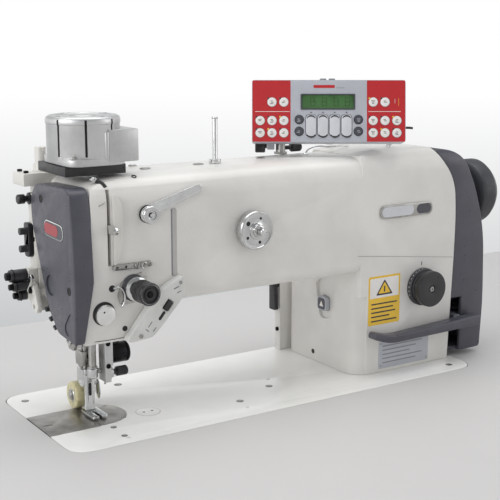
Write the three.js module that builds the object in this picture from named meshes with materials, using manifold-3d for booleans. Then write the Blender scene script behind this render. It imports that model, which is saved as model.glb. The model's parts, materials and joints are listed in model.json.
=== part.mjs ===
// The head of a flat-bed lockstitch sewing machine for leather, with a top roller behind the presser foot,
// a thread trimmer's motor on the head and an operating panel over the arm.
// Millimetres. X runs along the arm from the needle to the handwheel, Y runs away from the operator and Z is up.
// The origin is under the needle, on the face that the machine rests on.
import * as THREE from "three";
import { mergeVertices } from "three/addons/utils/BufferGeometryUtils.js";
import Module from "manifold-3d";

// ---- Driving dimensions ----
const BED_LENGTH = 476;
const BED_WIDTH = 178;
const BED_CORNER = 22;
const BED_TOP = 100; // the bed's working face over the resting face
const BED_RIM = 38;
const BED_PLATE = 10;
const BED_WALL = 8;
const NEEDLE_FROM_LEFT = 57;
const NEEDLE_FROM_FRONT = 82;
const PAN_INSET = 6;
const PAN_WALL = 4;
const THROAT = 122; // from the bed to the lower edge of the arm's front
const ARM_DEPTH = 92;
const ARM_HEIGHT = 111;
const ARM_WALL = 8;
const COLUMN_WIDTH = 130;
const COLUMN_END = 8; // from the column to the bed's right end
const COLUMN_CORNER = 24;
const COLUMN_TO_BED_BACK = 18;
const SHAFT_RISE = 56; // main shaft over the arm's underside
const SHAFT_RADIUS = 9;
const HANDWHEEL_RADIUS = 37;
const HANDWHEEL_WIDTH = 32;
const HANDWHEEL_FROM_BED = 47;
const COVER_THICKNESS = 19;
const COVER_WALL = 3;
const HEAD_LEFT = -18.5;
const HEAD_DROP = 38; // how far the head hangs below the arm's underside
const PLATE_THICKNESS = 3;
const PLATE_RADIUS = 29;
const PLATE_LEFT = -7;
const SLIDE_WIDTH = 58;
const HOOK_RADIUS = 18;
const HOOK_DEPTH = HOOK_RADIUS + 12; // hook shaft under the bed's working face
const HOOK_RIGHT = -4;
const HOOK_LENGTH = 20;
const HOOK_SHAFT_RADIUS = 6;
const NEEDLE_BAR_RADIUS = 3.6;
const NEEDLE_RADIUS = 0.8;
const NEEDLE_TIP = 10; // over the bed with the needle bar up
const NEEDLE_LENGTH = 36;
const PRESSER_BAR_RADIUS = 4;
const PRESSER_BAR_Y = 15;
const ROLLER_RADIUS = 13.2;
const ROLLER_WIDTH = 10;
const ROLLER_Y = 29;
const PULLEY_RADIUS = 34;
const PULLEY_WIDTH = 12;
const BELT_THICKNESS = 1.6;
const FLANGE_THICKNESS = 1.5;
const BELT_TURNS = 2; // hook turns for one turn of the handwheel
const DIAL_RADIUS = 19.5;
const WINDER_RADIUS = 19;
const TENSION_RADIUS = 10.5;
const TENSION_BASE_RADIUS = 12.5;
const MOTOR_RADIUS = 34;
const MOTOR_HEIGHT = 41;
const PANEL_WIDTH = 157;
const PANEL_HEIGHT = 63.5;
const PANEL_DEPTH = 22;
const PANEL_TURN = -33;
const PANEL_LEAN = -11;
const ROCKER_WIDTH = 10.4;
const ROCKER_HEIGHT = 22;
const ROCKER_PITCH = 12.1;
const KEY_RADIUS = 4.4;

// Clearances
const SEAT = 0.3; // between faces that touch
const RUNNING = 0.4; // round a shaft in its bush
const SLIDING = 0.5; // round a bar or button in its hole
const HOOK_CLEARANCE = 0.5;
const BELT_ROOM = 2; // between the belt and the casting round it

// ---- Places that follow from the driving dimensions ----
const BED_LEFT = -NEEDLE_FROM_LEFT;
const BED_RIGHT = BED_LENGTH - NEEDLE_FROM_LEFT;
const BED_FRONT = -NEEDLE_FROM_FRONT;
const BED_BACK = BED_WIDTH - NEEDLE_FROM_FRONT;
const COLUMN_RIGHT = BED_RIGHT - COLUMN_END;
const COLUMN_LEFT = COLUMN_RIGHT - COLUMN_WIDTH;
const COLUMN_BACK = BED_BACK - COLUMN_TO_BED_BACK;
const ARM = BED_TOP + THROAT;
const ARM_TOP = ARM + ARM_HEIGHT;
const FRONT = -ARM_DEPTH / 2;
const BACK = ARM_DEPTH / 2;
const HEAD_BOTTOM = ARM - HEAD_DROP;
const SHAFT_Z = ARM + SHAFT_RISE;
const HOOK_Z = BED_TOP - HOOK_DEPTH;
const COVER_LEFT = HEAD_LEFT - SEAT - COVER_THICKNESS;
const HANDWHEEL_X = BED_RIGHT + HANDWHEEL_FROM_BED;
const PULLEY_X = COLUMN_LEFT + 71;
const SMALL_PULLEY_RADIUS = PULLEY_RADIUS / BELT_TURNS;
const ROLLER_X = -9.5;
const ROLLER_Z = BED_TOP + SEAT + ROLLER_RADIUS;

const wasm = await Module();
wasm.setup();

// ---- Small tools for solids ----
// A closed three.js geometry as a solid that can be joined and cut.
function solid(geometry) {
  const bare = geometry.clone();
  bare.deleteAttribute("normal");
  bare.deleteAttribute("uv");
  const merged = mergeVertices(bare, 1e-4);
  const corners = merged.index.array;
  const faces = [];
  for (let i = 0; i < corners.length; i += 3) {
    const [a, b, c] = [corners[i], corners[i + 1], corners[i + 2]];
    if (a !== b && b !== c && c !== a) faces.push(a, b, c);
  }
  return new wasm.Manifold(
    new wasm.Mesh({
      numProp: 3,
      vertProperties: merged.attributes.position.array,
      triVerts: new Uint32Array(faces),
    }),
  );
}

function block(x, y, z) {
  const size = [x[1] - x[0], y[1] - y[0], z[1] - z[0]];
  const middle = [(x[0] + x[1]) / 2, (y[0] + y[1]) / 2, (z[0] + z[1]) / 2];
  return solid(new THREE.BoxGeometry(...size).translate(...middle));
}

// Turns a geometry made along Y so that it lies along the named axis.
function along(axis, geometry) {
  if (axis === "x") geometry.rotateZ(-Math.PI / 2);
  if (axis === "z") geometry.rotateX(Math.PI / 2);
  return geometry;
}

// A round bar along an axis; centre holds its other two coordinates, in X, Y, Z order.
function rod(axis, centre, from, to, radius, sides = 20, endRadius = radius) {
  const geometry = along(axis, new THREE.CylinderGeometry(endRadius, radius, to - from, sides));
  const middle = (from + to) / 2;
  const [a, b] = centre;
  const place = { x: [middle, a, b], y: [a, middle, b], z: [a, b, middle] }[axis];
  return solid(geometry.translate(...place));
}

// A turned piece: profile holds [radius, height] pairs from one end of the axis to the other.
function turned(axis, centre, profile, sides = 28) {
  const points = profile.map(([radius, height]) => new THREE.Vector2(radius, height));
  return solid(along(axis, new THREE.LatheGeometry(points, sides)).translate(...centre));
}

// An outline of [u, v, corner radius] points. A corner's rounding takes less than half of each side it meets.
function outline(points) {
  const shape = new THREE.Shape();
  points.forEach(([u, v, wanted = 0], i) => {
    const corner = new THREE.Vector2(u, v);
    const sides = [points.at(i - 1), points[(i + 1) % points.length]].map(([a, b]) =>
      new THREE.Vector2(a, b).sub(corner),
    );
    const radius = Math.min(wanted, ...sides.map((side) => side.length() * 0.49));
    const [start, end] = sides.map((side) => side.setLength(radius).add(corner));
    if (i === 0) shape.moveTo(start.x, start.y);
    else shape.lineTo(start.x, start.y);
    if (radius > 0) shape.quadraticCurveTo(u, v, end.x, end.y);
  });
  return shape;
}

// A prism along an axis. Its outline's u and v are Y and Z along x, X and Z along y, and X and Y along z.
function prism(axis, shape, from, to, smooth = 5) {
  const flat = Array.isArray(shape) ? outline(shape) : shape;
  const geometry = new THREE.ExtrudeGeometry(flat, {
    depth: to - from,
    bevelEnabled: false,
    curveSegments: smooth,
  });
  const [X, Y, Z] = [new THREE.Vector3(1, 0, 0), new THREE.Vector3(0, 1, 0), new THREE.Vector3(0, 0, 1)];
  const place = new THREE.Matrix4();
  if (axis === "x") place.makeBasis(Y, Z, X).setPosition(from, 0, 0);
  if (axis === "y") place.makeBasis(X, Z, Y.negate()).setPosition(0, to, 0);
  if (axis === "z") place.setPosition(0, 0, from);
  return solid(geometry.applyMatrix4(place));
}

const roundedBox = (u, v, radius) => [
  [u[0], v[0], radius],
  [u[1], v[0], radius],
  [u[1], v[1], radius],
  [u[0], v[1], radius],
];

// A knurled rim: straight teeth round a circle.
function knurl(centre, radius, depth, teeth) {
  const shape = new THREE.Shape();
  for (let i = 0; i < teeth * 2; i += 1) {
    const angle = (i * Math.PI) / teeth;
    const reach = i % 2 ? radius - depth : radius;
    const point = [centre[0] + reach * Math.cos(angle), centre[1] + reach * Math.sin(angle)];
    if (i === 0) shape.moveTo(...point);
    else shape.lineTo(...point);
  }
  return shape;
}

const joined = (...solids) => solids.reduce((whole, next) => whole.add(next));
const cut = (whole, ...tools) => tools.reduce((rest, tool) => rest.subtract(tool), whole);

// ---- Finishes ----
const FINISHES = {
  light_paint: { color: 0xe6e5e2, roughness: 0.42, metalness: 0 },
  dark_cover: { color: 0x4c4d52, roughness: 0.4, metalness: 0 },
  steel: { color: 0xb4b4b2, roughness: 0.3, metalness: 1 },
  plate_steel: { color: 0x8f8e8c, roughness: 0.35, metalness: 1 },
  chrome: { color: 0xdadad8, roughness: 0.12, metalness: 1 },
  aluminium: { color: 0xb2b1ae, roughness: 0.38, metalness: 1 },
  black_plastic: { color: 0x1d1d1f, roughness: 0.45, metalness: 0 },
  grey_plastic: { color: 0xc9cac8, roughness: 0.45, metalness: 0 },
  silver_foil: { color: 0xbfc1c6, roughness: 0.35, metalness: 0.3 },
  display_green: { color: 0x5f8f4e, roughness: 0.25, metalness: 0 },
  roller_rubber: { color: 0xb9b389, roughness: 0.5, metalness: 0 },
  belt_rubber: { color: 0x222222, roughness: 0.8, metalness: 0 },
};

const machine = new THREE.Group();

function piece(name, shape, finish, holder = machine) {
  const { vertProperties, triVerts } = shape.getMesh();
  const geometry = new THREE.BufferGeometry();
  geometry.setAttribute("position", new THREE.BufferAttribute(new Float32Array(vertProperties), 3));
  geometry.setIndex(new THREE.BufferAttribute(new Uint32Array(triVerts), 1));
  geometry.computeVertexNormals();
  const mesh = new THREE.Mesh(geometry, new THREE.MeshStandardMaterial(FINISHES[finish]));
  mesh.name = name;
  holder.add(mesh);
}

// ---- Bed, oil pan and plates ----
const bedOutline = (inset) =>
  roundedBox([BED_LEFT + inset, BED_RIGHT - inset], [BED_FRONT + inset, BED_BACK - inset], BED_CORNER);

const BED_BOTTOM = BED_TOP - BED_RIM;
const FEED_SLOT = 14; // half length of the slots that the feed dog's teeth come through
const SLIDE_FRONT = -SLIDE_WIDTH / 2 - 1;
const SLIDE_BACK = SLIDE_FRONT + SLIDE_WIDTH;
const LUG_HALF = 6;
const LUG_PLACES = [46, COLUMN_LEFT - 45];

function plateOutline(extra) {
  const radius = PLATE_RADIUS + extra;
  const shape = new THREE.Shape();
  shape.moveTo(PLATE_LEFT - extra, -radius);
  shape.lineTo(2, -radius);
  shape.absarc(2, 0, radius, -Math.PI / 2, Math.PI / 2, false);
  shape.lineTo(PLATE_LEFT - extra, radius);
  return shape;
}

piece(
  "oil_pan",
  cut(
    prism("z", bedOutline(PAN_INSET), 0, BED_BOTTOM - SEAT),
    prism("z", bedOutline(PAN_INSET + PAN_WALL), PAN_WALL, BED_BOTTOM + 1),
  ),
  "dark_cover",
);

const lugs = LUG_PLACES.map((x) =>
  cut(
    block([x - LUG_HALF, x + LUG_HALF], [-12, 12], [HOOK_Z - 12, BED_TOP - BED_PLATE + 1]),
    rod("x", [0, HOOK_Z], x - LUG_HALF - 1, x + LUG_HALF + 1, HOOK_SHAFT_RADIUS + RUNNING),
  ),
);
const bedScrews = [
  [1.4, -39.6],
  [2.2, -70],
  [136, -60.5],
  [201, 0.3],
];
piece(
  "bed_casting",
  cut(
    joined(
      cut(
        prism("z", bedOutline(0), BED_BOTTOM, BED_TOP),
        prism("z", bedOutline(BED_WALL), BED_BOTTOM - 1, BED_TOP - BED_PLATE),
      ),
      ...lugs,
    ),
    prism("z", plateOutline(SEAT), BED_TOP - PLATE_THICKNESS - SEAT, BED_TOP + 1, 10),
    block(
      [BED_LEFT - 1, PLATE_LEFT],
      [SLIDE_FRONT - SEAT, SLIDE_BACK + SEAT],
      [BED_TOP - PLATE_THICKNESS - SEAT, BED_TOP + 1],
    ),
    block([BED_LEFT + 12, 24], [-22, 20], [BED_BOTTOM, BED_TOP]),
    block([PULLEY_X - 12, PULLEY_X + 24], [-28, 28], [BED_TOP - BED_PLATE - 1, BED_TOP + 1]),
    ...bedScrews.map(([x, y]) => rod("z", [x, y], BED_TOP - 4, BED_TOP + 1, 2.4, 10)),
  ),
  "light_paint",
);

piece(
  "needle_plate",
  cut(
    prism("z", plateOutline(0), BED_TOP - PLATE_THICKNESS, BED_TOP, 10),
    rod("z", [0, 0], BED_TOP - 10, BED_TOP + 1, 1.9, 12),
    ...[-5.6, 3].map((x) =>
      block([x, x + 2.6], [-FEED_SLOT, FEED_SLOT], [BED_TOP - 10, BED_TOP + 1]),
    ),
  ),
  "plate_steel",
);

piece(
  "slide_plate",
  cut(
    block(
      [BED_LEFT, PLATE_LEFT - SEAT],
      [SLIDE_FRONT, SLIDE_BACK],
      [BED_TOP - PLATE_THICKNESS, BED_TOP],
    ),
    block([BED_LEFT + 5.5, BED_LEFT + 13.5], [-4, -1], [BED_TOP - 1.2, BED_TOP + 1]),
  ),
  "plate_steel",
);

// ---- Arm casting: head, arm and column in one ----
const endProfile = [
  [COLUMN_RIGHT, BED_TOP + SEAT],
  [COLUMN_RIGHT + 5, ARM - 5],
  [COLUMN_RIGHT + 6, ARM + 40, 18],
  [COLUMN_RIGHT + 3, ARM + 79, 18],
  [COLUMN_RIGHT - 26, ARM + 115],
];
const HUMP = 7; // the arm's top rises this much over the column
const BELLY = 10; // the arm's rounded underside hangs this much below its front's lower edge
const armProfile = [
  [HEAD_LEFT, HEAD_BOTTOM, 4],
  [16, HEAD_BOTTOM, 3],
  [38, ARM - BELLY - 4, 8],
  [60, ARM - BELLY, 14],
  [COLUMN_LEFT, ARM - BELLY, 26],
  [COLUMN_LEFT, BED_TOP + SEAT],
  ...endProfile,
  [COLUMN_RIGHT - 51, ARM_TOP + HUMP, 20],
  [COLUMN_RIGHT - 100, ARM_TOP + HUMP, 20],
  [COLUMN_RIGHT - 125, ARM_TOP, 12],
  [44, ARM_TOP, 30],
  [HEAD_LEFT, ARM_TOP - 6, 14],
];
const SHOULDER = 24;
const armSection = (top, bottom) => [
  [FRONT, bottom, BELLY + 3],
  [BACK, bottom, BELLY + 3],
  [BACK, top, SHOULDER],
  [FRONT, top, SHOULDER],
];
const CAVITY_BACK = BACK - ARM_WALL;
const CAVITY_FRONT = FRONT + ARM_WALL;
const TAKE_UP_X = -PRESSER_BAR_RADIUS - 1.7;
const TAKE_UP_FRONT_X = -0.9; // the lever is cranked, so its front part is to the right of its rear part
const TAKE_UP_SLOT = 1.8; // half width
const BULKHEADS = [66, COLUMN_LEFT + 20];
const BUTTON_Y = [2.6, 18.8];
const BUTTON_Z = [BED_TOP + 61.5, BED_TOP + 77];
const DIAL_X = COLUMN_LEFT + 89;
const DIAL_Z = BED_TOP + 88;
const WINDER_X = 150;
const WINDER_Z = ARM + 51;
const TENSION_X = 21.5;
const TENSION_Z = ARM + 10;
const PRE_X = 35;
const PRE_Z = ARM + 77;

const armBody = joined(
  prism("y", armProfile, FRONT - 1, BACK + 1, 9).intersect(
    joined(
      prism("x", armSection(ARM_TOP, BED_TOP - 20), HEAD_LEFT - 1, 66, 8),
      prism("x", armSection(ARM_TOP, ARM - BELLY), 65, COLUMN_LEFT + 6, 8),
      prism("x", armSection(ARM_TOP + HUMP, BED_TOP - 20), COLUMN_LEFT + 5, COLUMN_RIGHT + 9, 8),
    ),
  ),
  prism(
    "z",
    [
      [COLUMN_LEFT, FRONT, COLUMN_CORNER],
      [COLUMN_RIGHT, FRONT],
      [COLUMN_RIGHT, COLUMN_BACK, 10],
      [COLUMN_LEFT, COLUMN_BACK, 10],
    ],
    BED_TOP + SEAT,
    ARM - BELLY + 2,
  ),
  block([COLUMN_LEFT - 9, COLUMN_LEFT + 22], [COLUMN_BACK + 4, COLUMN_BACK + 14], [BED_TOP + SEAT, ARM - 20]),
  block([COLUMN_LEFT + 12, COLUMN_LEFT + 22], [COLUMN_BACK - 2, COLUMN_BACK + 5], [BED_TOP + SEAT, ARM - 20]),
);
// The column's front left corner is rounded off from the bed up to the arm.
const cornerTool = cut(
  block([COLUMN_LEFT - 1, COLUMN_LEFT + 14], [FRONT - 2, FRONT + 14], [BED_TOP, ARM - BELLY - 26]),
  prism(
    "z",
    [
      [COLUMN_LEFT, FRONT, COLUMN_CORNER],
      [COLUMN_RIGHT, FRONT],
      [COLUMN_RIGHT, BACK],
      [COLUMN_LEFT, BACK],
    ],
    BED_TOP - 1,
    ARM,
  ),
);
const bulkheads = BULKHEADS.map((x) =>
  cut(
    block([x - 6, x + 6], [CAVITY_FRONT - 1, CAVITY_BACK + 1], [ARM + ARM_WALL - 1, ARM + 97]),
    rod("x", [0, SHAFT_Z], x - 7, x + 7, SHAFT_RADIUS + RUNNING),
  ),
);
const columnButton = (extra) =>
  roundedBox([BUTTON_Y[0] - extra, BUTTON_Y[1] + extra], [BUTTON_Z[0] - extra, BUTTON_Z[1] + extra], 5);
// The recess round the button is deepest at the back and runs out towards the front.
const RECESS_FRONT = -13;
const RECESS_SLOPE = 6;
const buttonRecess = prism(
  "x",
  [
    [0, BED_TOP + 106, 8],
    [12, BED_TOP + 54, 6],
    [31, BED_TOP + 51, 8],
    [40, BED_TOP + 92, 8],
  ],
  -10,
  0,
)
  .rotate([0, 0, -RECESS_SLOPE])
  .translate([COLUMN_LEFT, RECESS_FRONT, 0]);

// The head's lower front reaches to the left, under the tapered end of the face cover.
const headToe = (gap, front) =>
  prism(
    "y",
    [
      [HEAD_LEFT + 1, ARM + 27 + gap, 0],
      [HEAD_LEFT - 9.5 - gap, HEAD_BOTTOM + 4 + gap, 2],
      [HEAD_LEFT - 9.5 - gap, HEAD_BOTTOM - gap, 2],
      [HEAD_LEFT + 1, HEAD_BOTTOM - gap, 0],
    ],
    front,
    FRONT + ARM_WALL + 4 + gap,
  );

piece(
  "arm_casting",
  cut(
    joined(
      cut(
        armBody,
        cornerTool,
        block([HEAD_LEFT - 1, COLUMN_RIGHT + 9], [CAVITY_FRONT, CAVITY_BACK], [ARM + ARM_WALL, ARM + 96]),
        block([HEAD_LEFT - 1, 12], [CAVITY_FRONT, CAVITY_BACK], [HEAD_BOTTOM + ARM_WALL, ARM + ARM_WALL + 1]),
        block([-12, 6.2], [-30, CAVITY_BACK], [HEAD_BOTTOM - 1, HEAD_BOTTOM + ARM_WALL + 1]),
        block(
          [COLUMN_LEFT + 16, COLUMN_RIGHT - ARM_WALL],
          [CAVITY_FRONT, CAVITY_BACK],
          [BED_TOP, ARM + ARM_WALL + 1],
        ),
      ),
      ...bulkheads,
      headToe(0, FRONT),
    ),
    block(
      [TAKE_UP_FRONT_X - TAKE_UP_SLOT, TAKE_UP_FRONT_X + TAKE_UP_SLOT],
      [FRONT - 1, CAVITY_FRONT + 1],
      [ARM + 32, ARM + 101],
    ),
    buttonRecess,
    prism("x", columnButton(SLIDING), COLUMN_LEFT - 1, COLUMN_LEFT + 17),
    rod("y", [WINDER_X, WINDER_Z], FRONT - 1, CAVITY_FRONT + 1, 4 + RUNNING, 16),
    rod("y", [DIAL_X, DIAL_Z], FRONT - 1, CAVITY_FRONT + 1, 5 + RUNNING, 16),
    prism(
      "x",
      beltOutline(BELT_THICKNESS + BELT_ROOM),
      PULLEY_X - BELT_ROOM,
      PULLEY_X + PULLEY_WIDTH + FLANGE_THICKNESS + BELT_ROOM,
      14,
    ),
  ),
  "light_paint",
);

// ---- Covers at both ends ----
const faceOutline = (inset) => [
  [FRONT + 3 + inset, ARM + 104 - inset, 12],
  [FRONT - 2 + inset, ARM + 70, 30],
  [FRONT - 5 + inset, ARM + 20, 16],
  [FRONT - 3 + inset, ARM - 36 + inset, 4],
  [-10, ARM - 33 + inset, 6],
  [9 - inset, ARM - 15 + inset, 8],
  [27 - inset, ARM + 23, 20],
  [BACK - 2 - inset, ARM + 66, 12],
  [BACK - 2 - inset, ARM + 88, 9],
  [32, ARM + 101 - inset, 9],
];
piece(
  "face_cover",
  cut(
    prism("x", faceOutline(0), COVER_LEFT, HEAD_LEFT - SEAT, 9),
    prism("x", faceOutline(COVER_WALL), COVER_LEFT + COVER_WALL, HEAD_LEFT + 1),
    headToe(SEAT, FRONT - 10),
    rod("x", [19, ARM + 88], COVER_LEFT - 1, COVER_LEFT + 8, 2.6, 12),
    rod("x", [-38, ARM + 12], COVER_LEFT - 1, COVER_LEFT + 8, 2.6, 12),
  ),
  "dark_cover",
);

const END_RIGHT = BED_RIGHT + 42;
const endCoverOutline = [
  ...endProfile.map(([x, z, radius]) => [x + SEAT, z + (z < ARM ? 5 : 0), radius]),
  [COLUMN_RIGHT + 13, ARM + 109, 19],
  [COLUMN_RIGHT + 34, ARM + 72, 21],
  [END_RIGHT, ARM + 20, 26],
  [END_RIGHT + 3, BED_TOP + 60, 20],
  [END_RIGHT, BED_TOP + 6, 4],
].reverse();
piece(
  "end_cover",
  cut(
    prism("y", endCoverOutline, FRONT, BACK, 9).intersect(
      prism("x", armSection(ARM_TOP + HUMP, BED_TOP - 20), COLUMN_RIGHT - 40, END_RIGHT + 9, 8),
    ),
    prism(
      "y",
      [
        [COLUMN_RIGHT - 9, BED_TOP + 10],
        [END_RIGHT - 4, BED_TOP + 10],
        [END_RIGHT - 5, ARM + 16],
        [COLUMN_RIGHT + 28, ARM + 72],
        [COLUMN_RIGHT + 10, ARM + 95],
        [COLUMN_RIGHT - 9, ARM + 95],
      ],
      FRONT + 5,
      BACK - 5,
    ),
    rod("x", [0, SHAFT_Z], COLUMN_RIGHT + 20, END_RIGHT + 5, SHAFT_RADIUS + 4),
    block([COLUMN_RIGHT - 1, COLUMN_RIGHT + 19], [FRONT - 1, FRONT + 8], [BED_TOP + 5, BED_TOP + 68]),
  ),
  "dark_cover",
);

// ---- Main shaft, handwheel and pulleys ----
const CRANK_X = 12;
piece(
  "main_shaft",
  joined(
    rod("x", [0, SHAFT_Z], CRANK_X + 5, HANDWHEEL_X + 29, SHAFT_RADIUS, 24),
    rod("x", [0, SHAFT_Z], CRANK_X, CRANK_X + 10, 24, 28),
    rod("x", [0, SHAFT_Z + 15], CRANK_X - 4, CRANK_X + 1, 3.5, 12),
  ),
  "steel",
);
const WHEEL = HANDWHEEL_RADIUS;
piece(
  "handwheel",
  cut(
    turned("x", [HANDWHEEL_X, 0, SHAFT_Z], [
      [0, 0],
      [WHEEL - 6, 0],
      [WHEEL - 1, 3],
      [WHEEL, 10],
      [WHEEL, 20],
      [WHEEL - 4, 25],
      [WHEEL - 11, HANDWHEEL_WIDTH],
      [WHEEL - 14, HANDWHEEL_WIDTH],
      [WHEEL - 16, 26],
      [0, 26],
    ]),
    rod("x", [0, SHAFT_Z], HANDWHEEL_X - 1, HANDWHEEL_X + 31, SHAFT_RADIUS + SEAT, 24),
  ),
  "dark_cover",
);

// A toothed pulley's body with a bore, between two flanges.
function pulley(z, radius, bore) {
  return cut(
    joined(
      rod("x", [0, z], PULLEY_X, PULLEY_X + PULLEY_WIDTH, radius, 32),
      rod("x", [0, z], PULLEY_X + PULLEY_WIDTH, PULLEY_X + PULLEY_WIDTH + FLANGE_THICKNESS, radius + 1.2, 32),
    ),
    rod("x", [0, z], PULLEY_X - 1, PULLEY_X + PULLEY_WIDTH + 3, bore + SEAT, 24),
  );
}
piece("upper_pulley", pulley(SHAFT_Z, PULLEY_RADIUS, SHAFT_RADIUS), "steel");
piece("lower_pulley", pulley(HOOK_Z, SMALL_PULLEY_RADIUS, HOOK_SHAFT_RADIUS), "steel");

// The belt follows both pulleys and runs straight between them.
function beltOutline(extra) {
  const lean = Math.asin((PULLEY_RADIUS - SMALL_PULLEY_RADIUS) / (SHAFT_Z - HOOK_Z));
  const shape = new THREE.Shape();
  shape.absarc(0, SHAFT_Z, PULLEY_RADIUS + extra, -lean, Math.PI + lean, false);
  shape.absarc(0, HOOK_Z, SMALL_PULLEY_RADIUS + extra, Math.PI + lean, 2 * Math.PI - lean, false);
  return shape;
}
piece(
  "timing_belt",
  cut(
    prism("x", beltOutline(SEAT + BELT_THICKNESS), PULLEY_X + 1, PULLEY_X + PULLEY_WIDTH - 1, 14),
    prism("x", beltOutline(SEAT), PULLEY_X, PULLEY_X + PULLEY_WIDTH, 14),
  ),
  "belt_rubber",
);

// ---- Hook, bobbin case and bobbin under the slide plate ----
const HOOK_WALL = 2.5;
const HOOK_LEFT = HOOK_RIGHT - HOOK_LENGTH;
const CASE_RADIUS = HOOK_RADIUS - HOOK_WALL - HOOK_CLEARANCE;
piece(
  "rotary_hook",
  cut(
    joined(
      rod("x", [0, HOOK_Z], HOOK_LEFT, HOOK_RIGHT, HOOK_RADIUS, 32),
      rod("x", [0, HOOK_Z], HOOK_RIGHT - 1, HOOK_RIGHT + 12, 9, 20),
    ),
    rod("x", [0, HOOK_Z], HOOK_LEFT - 1, HOOK_RIGHT - 4, CASE_RADIUS + HOOK_CLEARANCE, 32),
    rod("x", [0, HOOK_Z], HOOK_RIGHT + 2, HOOK_RIGHT + 13, HOOK_SHAFT_RADIUS + SEAT),
    block([HOOK_LEFT - 1, HOOK_LEFT + 9], [4, HOOK_RADIUS + 1], [HOOK_Z - 6, HOOK_Z + 6]),
  ),
  "steel",
);
piece(
  "hook_shaft",
  rod("x", [0, HOOK_Z], HOOK_RIGHT + 2 + SEAT, PULLEY_X + PULLEY_WIDTH + 8, HOOK_SHAFT_RADIUS),
  "steel",
);
piece(
  "bobbin_case",
  joined(
    cut(
      rod("x", [0, HOOK_Z], HOOK_LEFT - 1, HOOK_RIGHT - 4 - HOOK_CLEARANCE, CASE_RADIUS, 28),
      rod("x", [0, HOOK_Z], HOOK_LEFT + 1, HOOK_RIGHT, CASE_RADIUS - 2.6, 28),
    ),
    rod("x", [0, HOOK_Z], HOOK_LEFT, HOOK_RIGHT - 4 - HOOK_CLEARANCE, 2.4, 12),
  ),
  "steel",
);
const BOBBIN_RADIUS = CASE_RADIUS - 3.2;
piece(
  "bobbin",
  cut(
    joined(
      rod("x", [0, HOOK_Z], HOOK_LEFT + 1.6, HOOK_LEFT + 2.8, BOBBIN_RADIUS, 24),
      rod("x", [0, HOOK_Z], HOOK_LEFT + 2.6, HOOK_RIGHT - 6, 5, 16),
      rod("x", [0, HOOK_Z], HOOK_RIGHT - 6.2, HOOK_RIGHT - 5, BOBBIN_RADIUS, 24),
    ),
    rod("x", [0, HOOK_Z], HOOK_LEFT, HOOK_RIGHT, 2.4 + RUNNING, 12),
  ),
  "aluminium",
);

// ---- Needle bar, presser bar, roller and feed ----
const NEEDLE_TOP = BED_TOP + NEEDLE_TIP + NEEDLE_LENGTH;
const BAR_TOP = ARM + 90;
piece(
  "needle_bar",
  cut(
    joined(
      rod("z", [0, 0], NEEDLE_TOP - 6, BAR_TOP, NEEDLE_BAR_RADIUS, 16),
      rod("z", [0, 0], NEEDLE_TOP - 7, NEEDLE_TOP + 3, 4.6, 16),
      rod("x", [0, NEEDLE_TOP - 2], 2, 7, 2, 10),
    ),
    rod("z", [0, 0], NEEDLE_TOP - 8, NEEDLE_TOP + SEAT, 1.1 + SEAT, 10),
  ),
  "steel",
);
piece(
  "needle",
  joined(
    rod("z", [0, 0], NEEDLE_TOP - 14, NEEDLE_TOP, 1.1, 10),
    rod("z", [0, 0], BED_TOP + NEEDLE_TIP + 5, NEEDLE_TOP - 13, NEEDLE_RADIUS, 10),
    rod("z", [0, 0], BED_TOP + NEEDLE_TIP, BED_TOP + NEEDLE_TIP + 5.5, 0.1, 10, NEEDLE_RADIUS),
  ),
  "chrome",
);

const FOOT_THICKNESS = 2.4;
const FOOT_LIFT = 9;
const FOOT_Z = BED_TOP + 1.2; // the foot rests over the feed dog's teeth
piece(
  "presser_bar",
  rod("z", [0, PRESSER_BAR_Y], BED_TOP + 36, BAR_TOP - FOOT_LIFT, PRESSER_BAR_RADIUS, 16),
  "steel",
);
piece(
  "presser_foot",
  cut(
    joined(
      prism("z", roundedBox([-8, 8], [-16, 13], 3), FOOT_Z, FOOT_Z + FOOT_THICKNESS),
      block([-5, 5], [7, 11], [FOOT_Z, BED_TOP + 44]),
      block([-7, 7], [8, 21], [BED_TOP + 27, BED_TOP + 44]),
    ),
    rod("z", [0, 0], FOOT_Z - 1, FOOT_Z + 4, 2, 12),
    block([-1.6, 1.6], [-17, 0], [FOOT_Z - 1, FOOT_Z + 4]),
    rod("z", [0, PRESSER_BAR_Y], BED_TOP + 36 - SEAT, BED_TOP + 45, PRESSER_BAR_RADIUS + SEAT, 16),
  ),
  "chrome",
);
const ARM_PLATE_X = ROLLER_X + ROLLER_WIDTH + 0.8;
piece(
  "roller_arm",
  cut(
    joined(
      prism(
        "x",
        [
          [ROLLER_Y - 5, ROLLER_Z - 5, 4],
          [ROLLER_Y + 5, ROLLER_Z - 5, 4],
          [ROLLER_Y + 8, BED_TOP + 48, 3],
          [ROLLER_Y + 8, BED_TOP + 62, 3],
          [PRESSER_BAR_Y - 7, BED_TOP + 62, 3],
          [PRESSER_BAR_Y - 7, BED_TOP + 46, 3],
          [ROLLER_Y - 6, BED_TOP + 46, 3],
        ],
        ARM_PLATE_X,
        ARM_PLATE_X + 3.5,
        3,
      ),
      block([-7, ARM_PLATE_X + 1], [PRESSER_BAR_Y - 6.5, PRESSER_BAR_Y + 8], [BED_TOP + 47, BED_TOP + 61]),
      rod("x", [ROLLER_Y, ROLLER_Z], ROLLER_X - 2.5, ARM_PLATE_X + 2, 3, 16),
    ),
    rod("z", [0, PRESSER_BAR_Y], BED_TOP + 40, BED_TOP + 70, PRESSER_BAR_RADIUS + SEAT, 16),
  ),
  "steel",
);
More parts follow.
